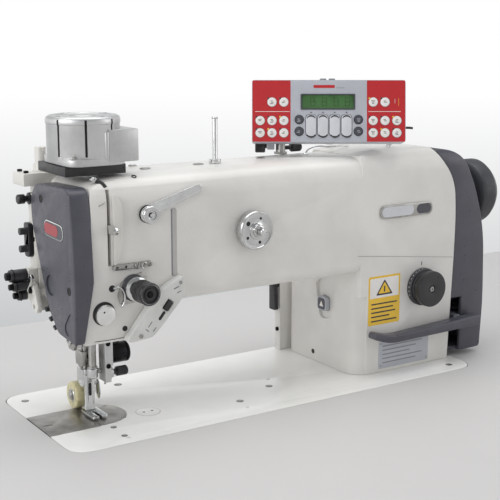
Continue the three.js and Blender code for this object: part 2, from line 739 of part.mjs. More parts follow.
piece(
  "feed_roller",
  cut(
    turned("x", [ROLLER_X, ROLLER_Y, ROLLER_Z], [
      [0, 0],
      [ROLLER_RADIUS - 1, 0],
      [ROLLER_RADIUS, 1],
      [ROLLER_RADIUS, ROLLER_WIDTH - 1],
      [ROLLER_RADIUS - 1, ROLLER_WIDTH],
      [0, ROLLER_WIDTH],
    ]),
    rod("x", [ROLLER_Y, ROLLER_Z], ROLLER_X - 1, ROLLER_X + ROLLER_WIDTH + 1, 3 + RUNNING, 16),
  ),
  "roller_rubber",
);
piece(
  "feed_dog",
  cut(
    joined(
      block([-7, 7], [-10, 10], [BED_TOP - 9, BED_TOP - 4]),
      block([-5.3, -3.3], [-9, 9], [BED_TOP - 5, BED_TOP + 0.8]),
      block([3.3, 5.3], [-9, 9], [BED_TOP - 5, BED_TOP + 0.8]),
      block([6, 20], [-5, 5], [BED_TOP - 9, BED_TOP - 5]),
    ),
    prism("z", roundedBox([-1.8, 1.8], [-7, 7], 1.5), BED_TOP - 10, BED_TOP + 1, 3),
  ),
  "steel",
);
piece(
  "bar_bracket",
  joined(
    block([8, 14], [-12, 3], [BED_TOP + 34, HEAD_BOTTOM - SEAT]),
    block([13, 17], [-10, 14], [BED_TOP + 49, HEAD_BOTTOM - SEAT]),
    rod("x", [-4, BED_TOP + 41], 13, 18, 5.5, 16),
  ),
  "aluminium",
);
piece(
  "height_knob",
  joined(
    prism("x", knurl([-4, BED_TOP + 41], 4.8, 0.5, 16), 24, 34),
    rod("x", [-4, BED_TOP + 41], 18 + SEAT, 25, 2.8, 12),
  ),
  "black_plastic",
);
piece(
  "wiper_solenoid",
  joined(
    rod("x", [8, BED_TOP + 56], 17 + SEAT, 38, 10, 24),
    rod("x", [8, BED_TOP + 56], 38, 40, 8.4, 24),
  ),
  "black_plastic",
);

// ---- Take-up lever and thread path on the head ----
const TAKE_UP_Y = 16;
const TAKE_UP_Z = ARM + 66;
const TAKE_UP_CRANK = [-18, -14];
piece(
  "take_up_lever",
  cut(
    joined(
      prism(
        "x",
        [
          [TAKE_UP_Y + 6, TAKE_UP_Z - 5, 5],
          [TAKE_UP_Y + 6, TAKE_UP_Z + 5, 5],
          [TAKE_UP_CRANK[0], TAKE_UP_Z + 4],
          [TAKE_UP_CRANK[0], TAKE_UP_Z - 4],
        ],
        TAKE_UP_X - 1.2,
        TAKE_UP_X + 1.2,
        3,
      ),
      block(
        [TAKE_UP_X - 1.2, TAKE_UP_FRONT_X + 1.2],
        TAKE_UP_CRANK,
        [TAKE_UP_Z - 4, TAKE_UP_Z + 4],
      ),
      prism(
        "x",
        [
          [TAKE_UP_CRANK[1], TAKE_UP_Z - 4],
          [TAKE_UP_CRANK[1], TAKE_UP_Z + 4],
          [FRONT - 14, TAKE_UP_Z + 4, 3],
          [FRONT - 18, TAKE_UP_Z, 2],
          [FRONT - 14, TAKE_UP_Z - 4, 3],
        ],
        TAKE_UP_FRONT_X - 1.2,
        TAKE_UP_FRONT_X + 1.2,
        3,
      ),
      rod("x", [TAKE_UP_Y, TAKE_UP_Z], TAKE_UP_X - 3.5, TAKE_UP_X + 1.2, 6.5, 16),
    ),
    rod("x", [FRONT - 13, TAKE_UP_Z], TAKE_UP_FRONT_X - 2, TAKE_UP_FRONT_X + 2, 1.4, 8),
    rod("x", [TAKE_UP_Y, TAKE_UP_Z], TAKE_UP_X - 5, TAKE_UP_X + 3, 2.4, 10),
  ),
  "chrome",
);
piece(
  "take_up_guard",
  prism(
    "y",
    [
      [2.1, ARM + 33, 1],
      [5.8, ARM + 34, 2],
      [11.1, ARM + 52, 9],
      [12.2, ARM + 71, 9],
      [10.5, ARM + 90, 6],
      [5, ARM + 96, 3],
      [2.1, ARM + 96, 1],
    ],
    FRONT - 3,
    FRONT - SEAT,
  ),
  "light_paint",
);

piece(
  "tension_post",
  joined(
    rod("y", [TENSION_X, TENSION_Z], FRONT - 35, FRONT - SEAT, 2.6, 12),
    rod("y", [TENSION_X, TENSION_Z], FRONT - 5, FRONT - SEAT, TENSION_BASE_RADIUS, 24),
    rod("y", [TENSION_X, TENSION_Z], FRONT - 8, FRONT - 6.5, 11, 24, 8),
    rod("y", [TENSION_X, TENSION_Z], FRONT - 10, FRONT - 8.5, 8, 24, 11),
    rod("y", [TENSION_X, TENSION_Z], FRONT - 11.5, FRONT - 4, 6, 16),
  ),
  "chrome",
);
piece(
  "tension_knob",
  cut(
    joined(
      prism("y", knurl([TENSION_X, TENSION_Z], TENSION_RADIUS, 0.7, 24), FRONT - 34, FRONT - 16),
      rod("y", [TENSION_X, TENSION_Z], FRONT - 17, FRONT - 12, 7.5, 20),
    ),
    rod("y", [TENSION_X, TENSION_Z], FRONT - 35, FRONT - 11, 2.6 + RUNNING, 12),
  ),
  "black_plastic",
);
piece(
  "thread_guide",
  joined(
    rod("y", [PRE_X, PRE_Z], FRONT - 15, FRONT - SEAT, 2, 12),
    rod("y", [PRE_X, PRE_Z], FRONT - 5, FRONT - SEAT, 8, 20),
    prism(
      "y",
      [
        [PRE_X - 6, PRE_Z, 2],
        [PRE_X - 1, PRE_Z - 6, 2],
        [PRE_X + 58, PRE_Z + 15, 2],
        [PRE_X + 58, PRE_Z + 22, 2],
        [PRE_X + 52, PRE_Z + 22, 2],
        [PRE_X - 3, PRE_Z + 6, 2],
      ],
      FRONT - 2.4,
      FRONT - SEAT,
      3,
    ),
  ),
  "chrome",
);
piece(
  "pre_tension_nut",
  cut(
    prism("y", knurl([PRE_X, PRE_Z], 8.4, 0.5, 20), FRONT - 14, FRONT - 6),
    rod("y", [PRE_X, PRE_Z], FRONT - 15, FRONT - 5.5, 2 + RUNNING, 12),
  ),
  "chrome",
);

// The slanted grey bar that covers the tension's lower side and carries the stitch button.
const BAR_FRONT = FRONT - 10;
// The button's outline is turned to lie along the bar.
const stitchButton = (extra) => {
  const [x, z] = [52, ARM - 9];
  const [alongX, alongZ] = [0.636, 0.771];
  const corners = [[-1, -1], [1, -1], [1, 1], [-1, 1]];
  return corners.map(([i, j]) => {
    const [length, width] = [i * (4.6 + extra), j * (2.8 + extra)];
    return [x + length * alongX + width * alongZ, z + length * alongZ - width * alongX];
  });
};
piece(
  "guard_bar",
  cut(
    prism(
      "y",
      [
        [10, ARM - 36, 2],
        [43, ARM + 4, 8],
        [55, ARM + 11, 8],
        [69, ARM + 17.5, 2],
        [71, ARM - 1, 8],
        [57, ARM - 16, 6],
        [46, ARM - 28, 6],
        [36, ARM - 37, 4],
        [13, ARM - 39, 2],
      ],
      BAR_FRONT,
      FRONT - SEAT,
      4,
    ),
    prism("y", stitchButton(SLIDING), BAR_FRONT - 1, FRONT - 3),
    rod("y", [TENSION_X, TENSION_Z], BAR_FRONT - 1, FRONT, TENSION_BASE_RADIUS + SLIDING, 24),
  ),
  "grey_plastic",
);
piece("stitch_button", prism("y", stitchButton(0), BAR_FRONT - 1.2, BAR_FRONT + 4), "black_plastic");

// ---- Winder, dial, lever and button on the arm and column ----
piece(
  "winder_disc",
  joined(
    turned("y", [WINDER_X, FRONT - 12, WINDER_Z], [
      [0, 0],
      [5, 0],
      [6, 3],
      [WINDER_RADIUS - 3, 4],
      [WINDER_RADIUS, 6.5],
      [WINDER_RADIUS, 9],
      [WINDER_RADIUS - 3, 11],
      [0, 11],
    ]),
    rod("y", [WINDER_X, WINDER_Z], FRONT - 22, FRONT - 10, 2.4, 12),
    rod("y", [WINDER_X, WINDER_Z], FRONT - 2, CAVITY_FRONT, 4, 16),
  ),
  "aluminium",
);
piece(
  "dial_ring",
  cut(
    rod("y", [DIAL_X, DIAL_Z], FRONT - 6, FRONT - SEAT, DIAL_RADIUS + 1, 32),
    rod("y", [DIAL_X, DIAL_Z], FRONT - 7, FRONT, 5 + RUNNING, 16),
  ),
  "dark_cover",
);
piece(
  "stitch_dial",
  cut(
    joined(
      prism("y", knurl([DIAL_X, DIAL_Z], DIAL_RADIUS, 0.6, 40), FRONT - 18, FRONT - 7),
      rod("y", [DIAL_X, DIAL_Z], FRONT - 8, CAVITY_FRONT, 5, 16),
    ),
    rod("y", [DIAL_X, DIAL_Z], FRONT - 19, FRONT - 16, 3, 12),
  ),
  "black_plastic",
);
const LEVER_PIVOT = [FRONT + 20, BED_TOP + 46];
const LEVER_BACK = FRONT - 4;
piece(
  "reverse_lever",
  joined(
    prism(
      "y",
      [
        [COLUMN_LEFT + 14, BED_TOP + 50, 3],
        [COLUMN_LEFT + 12, BED_TOP + 43, 3],
        [COLUMN_LEFT + 34, BED_TOP + 35.5, 10],
        [END_RIGHT - 17, BED_TOP + 37.5, 3],
        [END_RIGHT - 17, BED_TOP + 49, 3],
        [COLUMN_LEFT + 38, BED_TOP + 43.5, 10],
      ],
      LEVER_BACK - 13,
      LEVER_BACK,
    ),
    block([COLUMN_RIGHT + 5, COLUMN_RIGHT + 13], [LEVER_BACK - 1, LEVER_PIVOT[0]], [BED_TOP + 42, BED_TOP + 50]),
    rod("x", LEVER_PIVOT, COLUMN_RIGHT + 2.5, COLUMN_RIGHT + 34, 6, 16),
  ),
  "dark_cover",
);
piece(
  "column_button",
  prism("x", columnButton(0), COLUMN_LEFT - 3.5, COLUMN_LEFT + 13),
  "grey_plastic",
);
const BADGE_X = COLUMN_LEFT + 28;
piece(
  "badge_plate",
  prism("y", roundedBox([BADGE_X, BADGE_X + 72], [ARM + 45, ARM + 59], 6.9), FRONT - 1.6, FRONT - SEAT),
  "steel",
);
piece(
  "thread_post",
  joined(
    rod("z", [COLUMN_LEFT - 144, 0], ARM_TOP + SEAT, ARM_TOP + 44, 2.6, 12),
    rod("z", [COLUMN_LEFT - 144, 0], ARM_TOP + SEAT, ARM_TOP + 4, 6, 16),
  ),
  "chrome",
);

// ---- Motor on top of the head ----
const MOTOR = [-0.5, 4];
const MOTOR_BASE = ARM_TOP + 12;
piece(
  "motor_bracket",
  block([-30, 30], [-20, BACK - 4], [ARM_TOP + SEAT, MOTOR_BASE - 3]),
  "black_plastic",
);
const motorSlots = [0, 1, 2, 3, 4, 5, 6, 7].map((i) => {
  const angle = ((i + 0.55) * Math.PI) / 4;
  const slot = block([MOTOR_RADIUS - 3, MOTOR_RADIUS + 2], [-1.3, 1.3], [MOTOR_BASE + 2, MOTOR_BASE + 36]);
  return slot.rotate([0, 0, (angle * 180) / Math.PI]).translate([...MOTOR, 0]);
});
piece(
  "motor_housing",
  joined(
    cut(
      turned("z", [...MOTOR, MOTOR_BASE], [
        [0, 0],
        [MOTOR_RADIUS, 0],
        [MOTOR_RADIUS, MOTOR_HEIGHT - 3],
        [MOTOR_RADIUS - 3, MOTOR_HEIGHT],
        [0, MOTOR_HEIGHT],
      ], 32),
      ...motorSlots,
    ),
    prism("z", roundedBox([-29, 29], [-26, 34], 8), MOTOR_BASE - 3 + SEAT, MOTOR_BASE + 1),
    block([9, 38.5], [-30, 8], [MOTOR_BASE, MOTOR_BASE + 29]),
  ),
  "aluminium",
);

// ---- Foot and roller lifting unit behind the head ----
piece(
  "lift_bracket",
  joined(
    block([-43, 6], [BACK + SEAT, BACK + 28], [ARM + 96, ARM + 108]),
    block([-30, -20], [BACK + 4, BACK + 18], [ARM - 18, ARM + 97]),
    block([-20.5, 6], [BACK + SEAT, BACK + 8], [ARM + 60, ARM + 97]),
    prism(
      "x",
      [
        [BACK + 4, ARM - 16],
        [BACK + 4, ARM - 4],
        [BACK - 6, ARM - 14, 3],
        [BACK - 6, ARM - 24, 3],
        [BACK + 4, ARM - 18],
      ].reverse(),
      -34,
      -19.5,
    ),
  ),
  "light_paint",
);
piece(
  "lift_screw",
  cut(
    joined(
      rod("z", [-20, BACK + 14], ARM + 108 + SEAT, ARM + 115, 7, 8),
      rod("z", [-20, BACK + 14], ARM + 114, ARM + 131, 5.5, 16),
    ),
    block([-21, -19], [BACK + 5, BACK + 23], [ARM + 128, ARM + 132]),
  ),
  "steel",
);
piece(
  "valve_block",
  joined(
    prism("x", roundedBox([BACK + 6, BACK + 18], [BED_TOP + 149, BED_TOP + 182], 4), -38, -30 - SEAT),
    rod("x", [BACK + 12, BED_TOP + 157], -45, -37, 3.5, 12),
    rod("x", [BACK + 12, BED_TOP + 174], -45, -37, 3.5, 12),
  ),
  "black_plastic",
);
piece(
  "air_fittings",
  joined(
    block([-40, -30 - SEAT], [BACK + 5, BACK + 18], [BED_TOP + 108, BED_TOP + 138]),
    rod("x", [BACK + 11, BED_TOP + 132], -57, -39, 6, 16),
    rod("x", [BACK + 8, BED_TOP + 122], -55, -39, 4.6, 16),
    rod("x", [BACK + 13, BED_TOP + 112], -49, -39, 5, 16),
  ),
  "black_plastic",
);
const LIFTER = [COLUMN_BACK + 9, BED_TOP + 78];
const LIFTER_RIGHT = COLUMN_LEFT - 9 - SEAT;
piece(
  "hand_lifter",
  joined(
    rod("x", LIFTER, LIFTER_RIGHT - 9, LIFTER_RIGHT, 5, 16),
    prism(
      "x",
      [
        [LIFTER[0] - 5, LIFTER[1] + 2, 3],
        [LIFTER[0] - 7, LIFTER[1] - 30, 2],
        [LIFTER[0] + 5, LIFTER[1] - 30, 2],
        [LIFTER[0] + 5, LIFTER[1] + 2, 3],
      ],
      LIFTER_RIGHT - 8,
      LIFTER_RIGHT - 3,
      3,
    ),
  ),
  "black_plastic",
);

// ---- Operating panel on its post ----
const turn = THREE.MathUtils.degToRad(PANEL_TURN);
const lean = THREE.MathUtils.degToRad(PANEL_LEAN);
const POST = [COLUMN_LEFT - 46, BACK - 17];
const TILT_Z = ARM_TOP + 9;
piece(
  "panel_post",
  joined(
    rod("z", POST, ARM_TOP + SEAT, TILT_Z + 3, 5, 16),
    rod("z", POST, ARM_TOP + SEAT, ARM_TOP + 2.5, 7, 16),
  ),
  "steel",
);

// The panel's own frame: x to the right along its face, y into it and z up; its origin is on the tilt axis.
const panel = new THREE.Group();
panel.position.set(POST[0], POST[1], TILT_Z);
panel.rotation.set(lean, 0, turn, "ZXY");
machine.add(panel);

const PANEL_FRONT = -PANEL_DEPTH - 8;
const PANEL_LEFT = 48.5 - PANEL_WIDTH / 2;
const PANEL_BOTTOM = 0.75;
const PANEL_MIDDLE = PANEL_LEFT + PANEL_WIDTH / 2;
const PANEL_Z = PANEL_BOTTOM + PANEL_HEIGHT / 2;
const ROCKER_Z = PANEL_Z - 14.7;
const DISPLAY = [53.5, 14.2];
const DISPLAY_X = PANEL_MIDDLE - 1;
const DISPLAY_Z = PANEL_Z + 9.5;
const rockerPlaces = [-1.5, -0.5, 0.5, 1.5].map((i) => PANEL_MIDDLE + i * ROCKER_PITCH);
const keyPlaces = [-30.2, 30.2].flatMap((x) => [-8.7, -20.7].map((z) => [PANEL_MIDDLE + x, PANEL_Z + z]));
const POCKET = 4; // depth of the pockets that the keys travel in
const rockerBlock = (x, extra, from, to) =>
  prism(
    "y",
    roundedBox(
      [x - ROCKER_WIDTH / 2 - extra, x + ROCKER_WIDTH / 2 + extra],
      [ROCKER_Z - ROCKER_HEIGHT / 2 - extra, ROCKER_Z + ROCKER_HEIGHT / 2 + extra],
      4,
    ),
    from,
    to,
    3,
  );
piece(
  "panel_case",
  cut(
    joined(
      prism(
        "y",
        roundedBox([PANEL_LEFT, PANEL_LEFT + PANEL_WIDTH], [PANEL_BOTTOM, PANEL_BOTTOM + PANEL_HEIGHT], 3),
        PANEL_FRONT,
        PANEL_FRONT + PANEL_DEPTH,
        3,
      ),
      block([-14, -6.5], [PANEL_FRONT + PANEL_DEPTH - 1, 6], [-4, 20]),
    ),
    block(
      [DISPLAY_X - DISPLAY[0] / 2, DISPLAY_X + DISPLAY[0] / 2],
      [PANEL_FRONT - 1, PANEL_FRONT + 2],
      [DISPLAY_Z - DISPLAY[1] / 2, DISPLAY_Z + DISPLAY[1] / 2],
    ),
    ...rockerPlaces.map((x) => rockerBlock(x, SLIDING, PANEL_FRONT - 1, PANEL_FRONT + POCKET)),
    ...keyPlaces.map((place) =>
      rod("y", place, PANEL_FRONT - 1, PANEL_FRONT + POCKET, KEY_RADIUS + SLIDING, 16),
    ),
  ),
  "silver_foil",
  panel,
);
piece(
  "display_window",
  block(
    [DISPLAY_X - DISPLAY[0] / 2 + SEAT, DISPLAY_X + DISPLAY[0] / 2 - SEAT],
    [PANEL_FRONT + 0.4, PANEL_FRONT + 2 - SEAT],
    [DISPLAY_Z - DISPLAY[1] / 2 + SEAT, DISPLAY_Z + DISPLAY[1] / 2 - SEAT],
  ),
  "display_green",
  panel,
);
rockerPlaces.forEach((x, i) => {
  piece(`rocker_${i + 1}`, rockerBlock(x, 0, PANEL_FRONT - 1.2, PANEL_FRONT + 2), "silver_foil", panel);
});
keyPlaces.forEach((place, i) => {
  const key = rod("y", place, PANEL_FRONT - 1.2, PANEL_FRONT + 2, KEY_RADIUS, 16);
  piece(`mode_key_${i + 1}`, key, "black_plastic", panel);
});
piece(
  "panel_knob",
  joined(
    prism("x", knurl([0, 0], 6.5, 0.6, 16), -26, -16),
    rod("x", [0, 0], -17, -14 - SEAT, 3, 12),
  ),
  "black_plastic",
  panel,
);

export default machine;
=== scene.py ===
# %% [markdown]
# # A flat-bed sewing machine for leather
#
# The machine's working model (its castings, shafts, joints) comes packed from CAD. This lesson dresses it:
# painted castings get rounded edges, knobs get their knurls, steel gets its grinding marks. Every size is
# in metres in the CAD's own frame: X runs along the arm, Y away from the operator, Z up, and the needle is
# at X = 0, Y = 0. The bed's working face is 100 mm over the resting face.

# %% Load the fixed frame
import json
import math

import bpy
from mathutils import Matrix, Vector


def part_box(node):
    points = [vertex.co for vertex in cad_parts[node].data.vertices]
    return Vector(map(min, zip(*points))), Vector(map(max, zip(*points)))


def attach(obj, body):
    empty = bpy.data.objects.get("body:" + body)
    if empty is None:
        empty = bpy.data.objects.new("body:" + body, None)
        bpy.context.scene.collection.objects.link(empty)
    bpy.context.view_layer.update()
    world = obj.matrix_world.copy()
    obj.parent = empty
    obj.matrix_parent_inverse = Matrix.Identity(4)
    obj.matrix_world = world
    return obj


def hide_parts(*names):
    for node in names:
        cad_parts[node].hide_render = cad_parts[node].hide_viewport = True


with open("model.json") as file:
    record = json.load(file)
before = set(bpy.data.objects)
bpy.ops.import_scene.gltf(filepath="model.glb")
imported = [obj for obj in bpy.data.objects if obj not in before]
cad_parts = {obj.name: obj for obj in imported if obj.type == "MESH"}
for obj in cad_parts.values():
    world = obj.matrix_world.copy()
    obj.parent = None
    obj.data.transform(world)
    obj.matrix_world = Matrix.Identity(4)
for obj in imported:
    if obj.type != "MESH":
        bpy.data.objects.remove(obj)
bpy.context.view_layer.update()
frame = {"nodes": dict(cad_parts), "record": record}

MM = 0.001
X = Vector((1, 0, 0))
Y = Vector((0, 1, 0))
Z = Vector((0, 0, 1))

# %% [markdown]
# ## Places
#
# Positions are read from the CAD nodes' boxes wherever a node says them, so a new piece lands on the part
# it belongs to. The front face of the arm, the bed's face and the axes of the knobs are used again and
# again.

# %% Read the main places from the frame
def middle(node):
    low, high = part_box(node)
    return (low + high) / 2


bed_low, bed_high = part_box("bed_casting")
BED = bed_high.z
ARM_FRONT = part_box("arm_casting")[0].y
ARM_BACK = middle("main_shaft").y - ARM_FRONT
SEAT_GAP = 0.3 * MM
ARM_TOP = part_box("thread_post")[0].z - SEAT_GAP
LIFTER_TO_COLUMN = 9.3 * MM
COLUMN_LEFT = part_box("hand_lifter")[1].x + LIFTER_TO_COLUMN
SHAFT = middle("handwheel")
print("bed face", BED, "arm front", ARM_FRONT, "arm top", round(ARM_TOP, 4), "column", COLUMN_LEFT)


def at(x, y, z):
    """A point in millimetres: X from the needle, Y from the arm's middle, Z from the bed's face."""
    return Vector((x * MM, y * MM, BED + z * MM))


# %% [markdown]
# ## Colours and nodes
#
# A material is a small net of nodes. `linear` turns a colour as a screen shows it into the light values
# that Cycles wants, and `add` places one node with its settings and its links, so each finish reads as a
# list of steps. All patterns read Object coordinates: every piece's object sits at the origin, so one metre
# of pattern is one metre of machine.

# %% Helpers for finishes
def linear(code):
    channels = [int(code[i : i + 2], 16) / 255 for i in (1, 3, 5)]
    return (*[c / 12.92 if c <= 0.04045 else ((c + 0.055) / 1.055) ** 2.4 for c in channels], 1.0)


def add(tree, kind, inputs=None, **settings):
    node = tree.nodes.new(kind)
    for key, value in settings.items():
        setattr(node, key, value)
    for key, value in (inputs or {}).items():
        if isinstance(value, bpy.types.NodeSocket):
            tree.links.new(value, node.inputs[key])
        else:
            node.inputs[key].default_value = value
    return node


def new_finish(name, **inputs):
    """A material with one Principled shader; inputs are set on the shader's own sockets."""
    material = bpy.data.materials.new(name)
    material.use_nodes = True
    shader = material.node_tree.nodes["Principled BSDF"]
    for key, value in inputs.items():
        shader.inputs[key.replace("_", " ")].default_value = value
    return material, material.node_tree, shader


def place(tree):
    return add(tree, "ShaderNodeTexCoord").outputs["Object"]


def grain(tree, size_mm, detail=2.0, stretch=(1, 1, 1)):
    """A noise whose spots measure size_mm, drawn out along an axis by a stretch under 1."""
    mapped = add(tree, "ShaderNodeMapping", {"Vector": place(tree), "Scale": stretch})
    inputs = {"Vector": mapped.outputs[0], "Scale": 1 / (size_mm * MM), "Detail": detail}
    return add(tree, "ShaderNodeTexNoise", inputs).outputs["Fac"]


def ramp(tree, factor, low, high, start=0.3, end=0.7):
    node = add(tree, "ShaderNodeValToRGB", {"Fac": factor})
    node.color_ramp.elements[0].position = start
    node.color_ramp.elements[1].position = end
    node.color_ramp.elements[0].color = low
    node.color_ramp.elements[1].color = high
    return node.outputs["Color"]


def shade(level):
    return (level, level, level, 1.0)


def bump(tree, height, depth_mm, strength=1.0, under=None):
    inputs = {"Height": height, "Distance": depth_mm * MM, "Strength": strength}
    if under is not None:
        inputs["Normal"] = under
    return add(tree, "ShaderNodeBump", inputs).outputs["Normal"]


def feed(tree, shader, **sockets):
    for key, value in sockets.items():
        tree.links.new(value, shader.inputs[key.replace("_", " ")])


print("white as light:", linear("#ffffff"))

# %% [markdown]
# ## The enamel on the castings
#
# The bed and arm are cast iron, filled, primed and sprayed with a warm light-grey hammered enamel. The
# hammered look is a skin of shallow dimples about 2 mm across; a real one is a few hundredths of a
# millimetre deep. It could be modelled, but at this size bump does it. A broad, faint drift in the colour
# keeps the large faces from looking like plastic.

# %% Hammered enamel
def hammered_enamel(name, light, dark, dimple_mm=2.4):
    material, tree, shader = new_finish(name, Roughness=0.36, Coat_Weight=0.25, Coat_Roughness=0.18)
    drift = grain(tree, 55, 3)
    feed(tree, shader, Base_Color=ramp(tree, drift, linear(dark), linear(light), 0.35, 0.62))
    cells = add(
        tree,
        "ShaderNodeTexVoronoi",
        {"Vector": place(tree), "Scale": 1 / (dimple_mm * MM)},
        feature="SMOOTH_F1",
    )
    dimples = bump(tree, cells.outputs["Distance"], 0.16, 0.55)
    fine = bump(tree, grain(tree, 0.7), 0.02, 0.5, dimples)
    feed(tree, shader, Normal=fine, Roughness=ramp(tree, grain(tree, 6), shade(0.30), shade(0.44)))
    return material


def smooth_enamel(name, code):
    """The same paint without the hammered skin, as on small brackets and the bed's wiped top."""
    material, tree, shader = new_finish(name, Roughness=0.3, Coat_Weight=0.3, Coat_Roughness=0.15)
    light = linear(code)
    dark = tuple([c * 0.965 for c in light[:3]] + [1.0])
    feed(tree, shader, Base_Color=ramp(tree, grain(tree, 24, 4), dark, light, 0.3, 0.6))
    feed(tree, shader, Normal=bump(tree, grain(tree, 1.4, 3), 0.03, 0.5))
    return material


ENAMEL = hammered_enamel("hammered_enamel_light_grey", "#e7e5e1", "#dddbd7")
BED_ENAMEL = smooth_enamel("bed_enamel_light_grey", "#f3f2ef")
BRACKET_ENAMEL = smooth_enamel("bracket_enamel_light_grey", "#dedcd6")
print("enamels made:", ENAMEL.name, BED_ENAMEL.name, BRACKET_ENAMEL.name)

# %% [markdown]
# ## Moulded plastics and rubber
#
# The end covers are moulded ABS with a fine spark-eroded texture, about 0.4 mm from grain to grain, that
# breaks the highlight into a satin sheen. Knobs are glass-filled nylon: darker and rougher. The panel's
# keys are a printed polyester foil, flat and a little glossy. The roller's tyre is cast polyurethane, which
# light enters, so it gets some subsurface colour.

# %% Plastics and rubber
def moulded_plastic(name, code, roughness=0.42, grain_mm=0.45, depth_mm=0.025):
    material, tree, shader = new_finish(name, Roughness=roughness, IOR=1.54)
    base = linear(code)
    worn = tuple([min(1.0, c * 1.18 + 0.004) for c in base[:3]] + [1.0])
    feed(tree, shader, Base_Color=ramp(tree, grain(tree, 18, 4), base, worn, 0.35, 0.75))
    rough = (shade(max(0.05, roughness - 0.07)), shade(roughness + 0.09))
    feed(tree, shader, Roughness=ramp(tree, grain(tree, 5, 3), *rough))
    feed(tree, shader, Normal=bump(tree, grain(tree, grain_mm, 1), depth_mm, 0.7))
    return material


def printed_foil(name, code):
    material, tree, shader = new_finish(name, Roughness=0.38, IOR=1.58, Coat_Weight=0.15)
    base = linear(code)
    soft = tuple([c * 0.94 for c in base[:3]] + [1.0])
    feed(tree, shader, Base_Color=ramp(tree, grain(tree, 9, 3), soft, base))
    feed(tree, shader, Normal=bump(tree, grain(tree, 0.5, 1), 0.01, 0.4))
    return material


def cast_polyurethane(name, code):
    material, tree, shader = new_finish(
        name, Roughness=0.4, IOR=1.5, Subsurface_Weight=0.35, Subsurface_Scale=0.003
    )
    shader.inputs["Subsurface Radius"].default_value = (1.0, 0.85, 0.5)
    base = linear(code)
    stained = tuple([base[0] * 0.72, base[1] * 0.70, base[2] * 0.6, 1.0])
    feed(tree, shader, Base_Color=ramp(tree, grain(tree, 3.5, 4), stained, base, 0.3, 0.6))
    feed(tree, shader, Normal=bump(tree, grain(tree, 0.8, 3), 0.05, 0.6))
    return material


def floor_laminate(name, code):
    """A matt laminate whose colour hardly varies: a quiet ground for the machine."""
    material, tree, shader = new_finish(name, Roughness=0.55)
    base = linear(code)
    soft = tuple([c * 0.985 for c in base[:3]] + [1.0])
    feed(tree, shader, Base_Color=ramp(tree, grain(tree, 60, 3), soft, base))
    feed(tree, shader, Normal=bump(tree, grain(tree, 1.5, 1), 0.01, 0.4))
    return material


COVER = moulded_plastic("moulded_abs_anthracite", "#494952", 0.34)
COVER_DARK = moulded_plastic("moulded_abs_graphite", "#38393d", 0.46)
KNOB = moulded_plastic("glass_filled_nylon_black", "#242427", 0.34, 0.35, 0.02)
GREY_ABS = moulded_plastic("moulded_abs_light_grey", "#d3d3d0", 0.38)
RUBBER = moulded_plastic("nitrile_rubber_black", "#1c1c1d", 0.62, 0.6, 0.04)
FOIL_RED = printed_foil("printed_polyester_red", "#c01a22")
FOIL_SILVER = printed_foil("printed_polyester_silver", "#b9bcc4")
FOIL_SILVER_LIGHT = printed_foil("printed_polyester_pale_silver", "#d3d5da")
FOIL_WHITE = printed_foil("printed_polyester_white", "#efece9")
FOIL_YELLOW = printed_foil("printed_polyester_yellow", "#f2c531")
FOIL_DARK = printed_foil("printed_polyester_slate", "#45464f")
FOIL_BADGE = printed_foil("printed_polyester_dull_red", "#a8343b")
SEAM_GREY = printed_foil("joint_filler_grey", "#a9a7a4")
# Painted shade for the groove on the arm's front.
GROOVE_SHADE_GREY = printed_foil("groove_painted_shade_grey", "#bdbbb8")
INK = printed_foil("screen_ink_black", "#26262a")
INK_GREY = printed_foil("screen_ink_grey", "#85868c")
TYRE = cast_polyurethane("cast_polyurethane_cream", "#d9d2ac")
print("plastics made:", len(bpy.data.materials))

# %% [markdown]
# ## Bare metals
#
# A metal's colour is its reflection, so base colour is the mirror tint and roughness carries the rest. The
# bed's plates were ground, then worn by leather: fine lines along the feed direction, 0.3 mm apart, and
# dull patches. Chrome is nearly a mirror, with faint wear. The motor's housing is cast aluminium, bead
# blasted. Dark screws are blued steel.

# %% Metals
def lined_metal(name, code, dark, roughness, line_mm, stretch, depth_mm=0.006):
    """Ground or brushed metal: a noise drawn out along one axis makes the lines."""
    material, tree, shader = new_finish(name, Metallic=1.0, Roughness=roughness)
    lines = grain(tree, line_mm, 2, stretch)
    patches = grain(tree, 14, 4)
    feed(tree, shader, Base_Color=ramp(tree, patches, linear(dark), linear(code), 0.3, 0.65))
    feed(tree, shader, Roughness=ramp(tree, lines, shade(roughness - 0.08), shade(roughness + 0.12)))
    feed(tree, shader, Normal=bump(tree, lines, depth_mm, 0.6))
    return material


def cast_metal(name, code, dark, roughness, grain_mm=0.6):
    material, tree, shader = new_finish(name, Metallic=1.0, Roughness=roughness)
    feed(tree, shader, Base_Color=ramp(tree, grain(tree, 20, 4), linear(dark), linear(code), 0.3, 0.65))
    feed(
        tree, shader,
        Roughness=ramp(tree, grain(tree, 3, 3), shade(roughness - 0.06), shade(roughness + 0.1))
    )
    feed(tree, shader, Normal=bump(tree, grain(tree, grain_mm, 1), 0.02, 0.6))
    return material


PLATE_STEEL = lined_metal("ground_plate_steel", "#b9b6b1", "#9a9793", 0.36, 0.35, (1, 0.03, 1))
STEEL = lined_metal("ground_bar_steel", "#b9b8b5", "#9d9b97", 0.27, 0.3, (1, 1, 0.05))
CHROME = cast_metal("bright_chrome_plate", "#dcdddd", "#c9cac9", 0.12, 2.0)
CHROME_SATIN = cast_metal("satin_chrome_plate", "#f2f2f1", "#e4e4e3", 0.3, 1.2)
ALUMINIUM = cast_metal("bead_blasted_aluminium", "#d6d6d6", "#c6c6c6", 0.42)
TURNED = lined_metal("turned_aluminium", "#cfcfcd", "#b4b3b0", 0.26, 0.3, (1, 0.04, 1))
BLUED = cast_metal("blued_steel", "#2c2c2e", "#1f1f21", 0.36)
print("metals made:", len(bpy.data.materials))
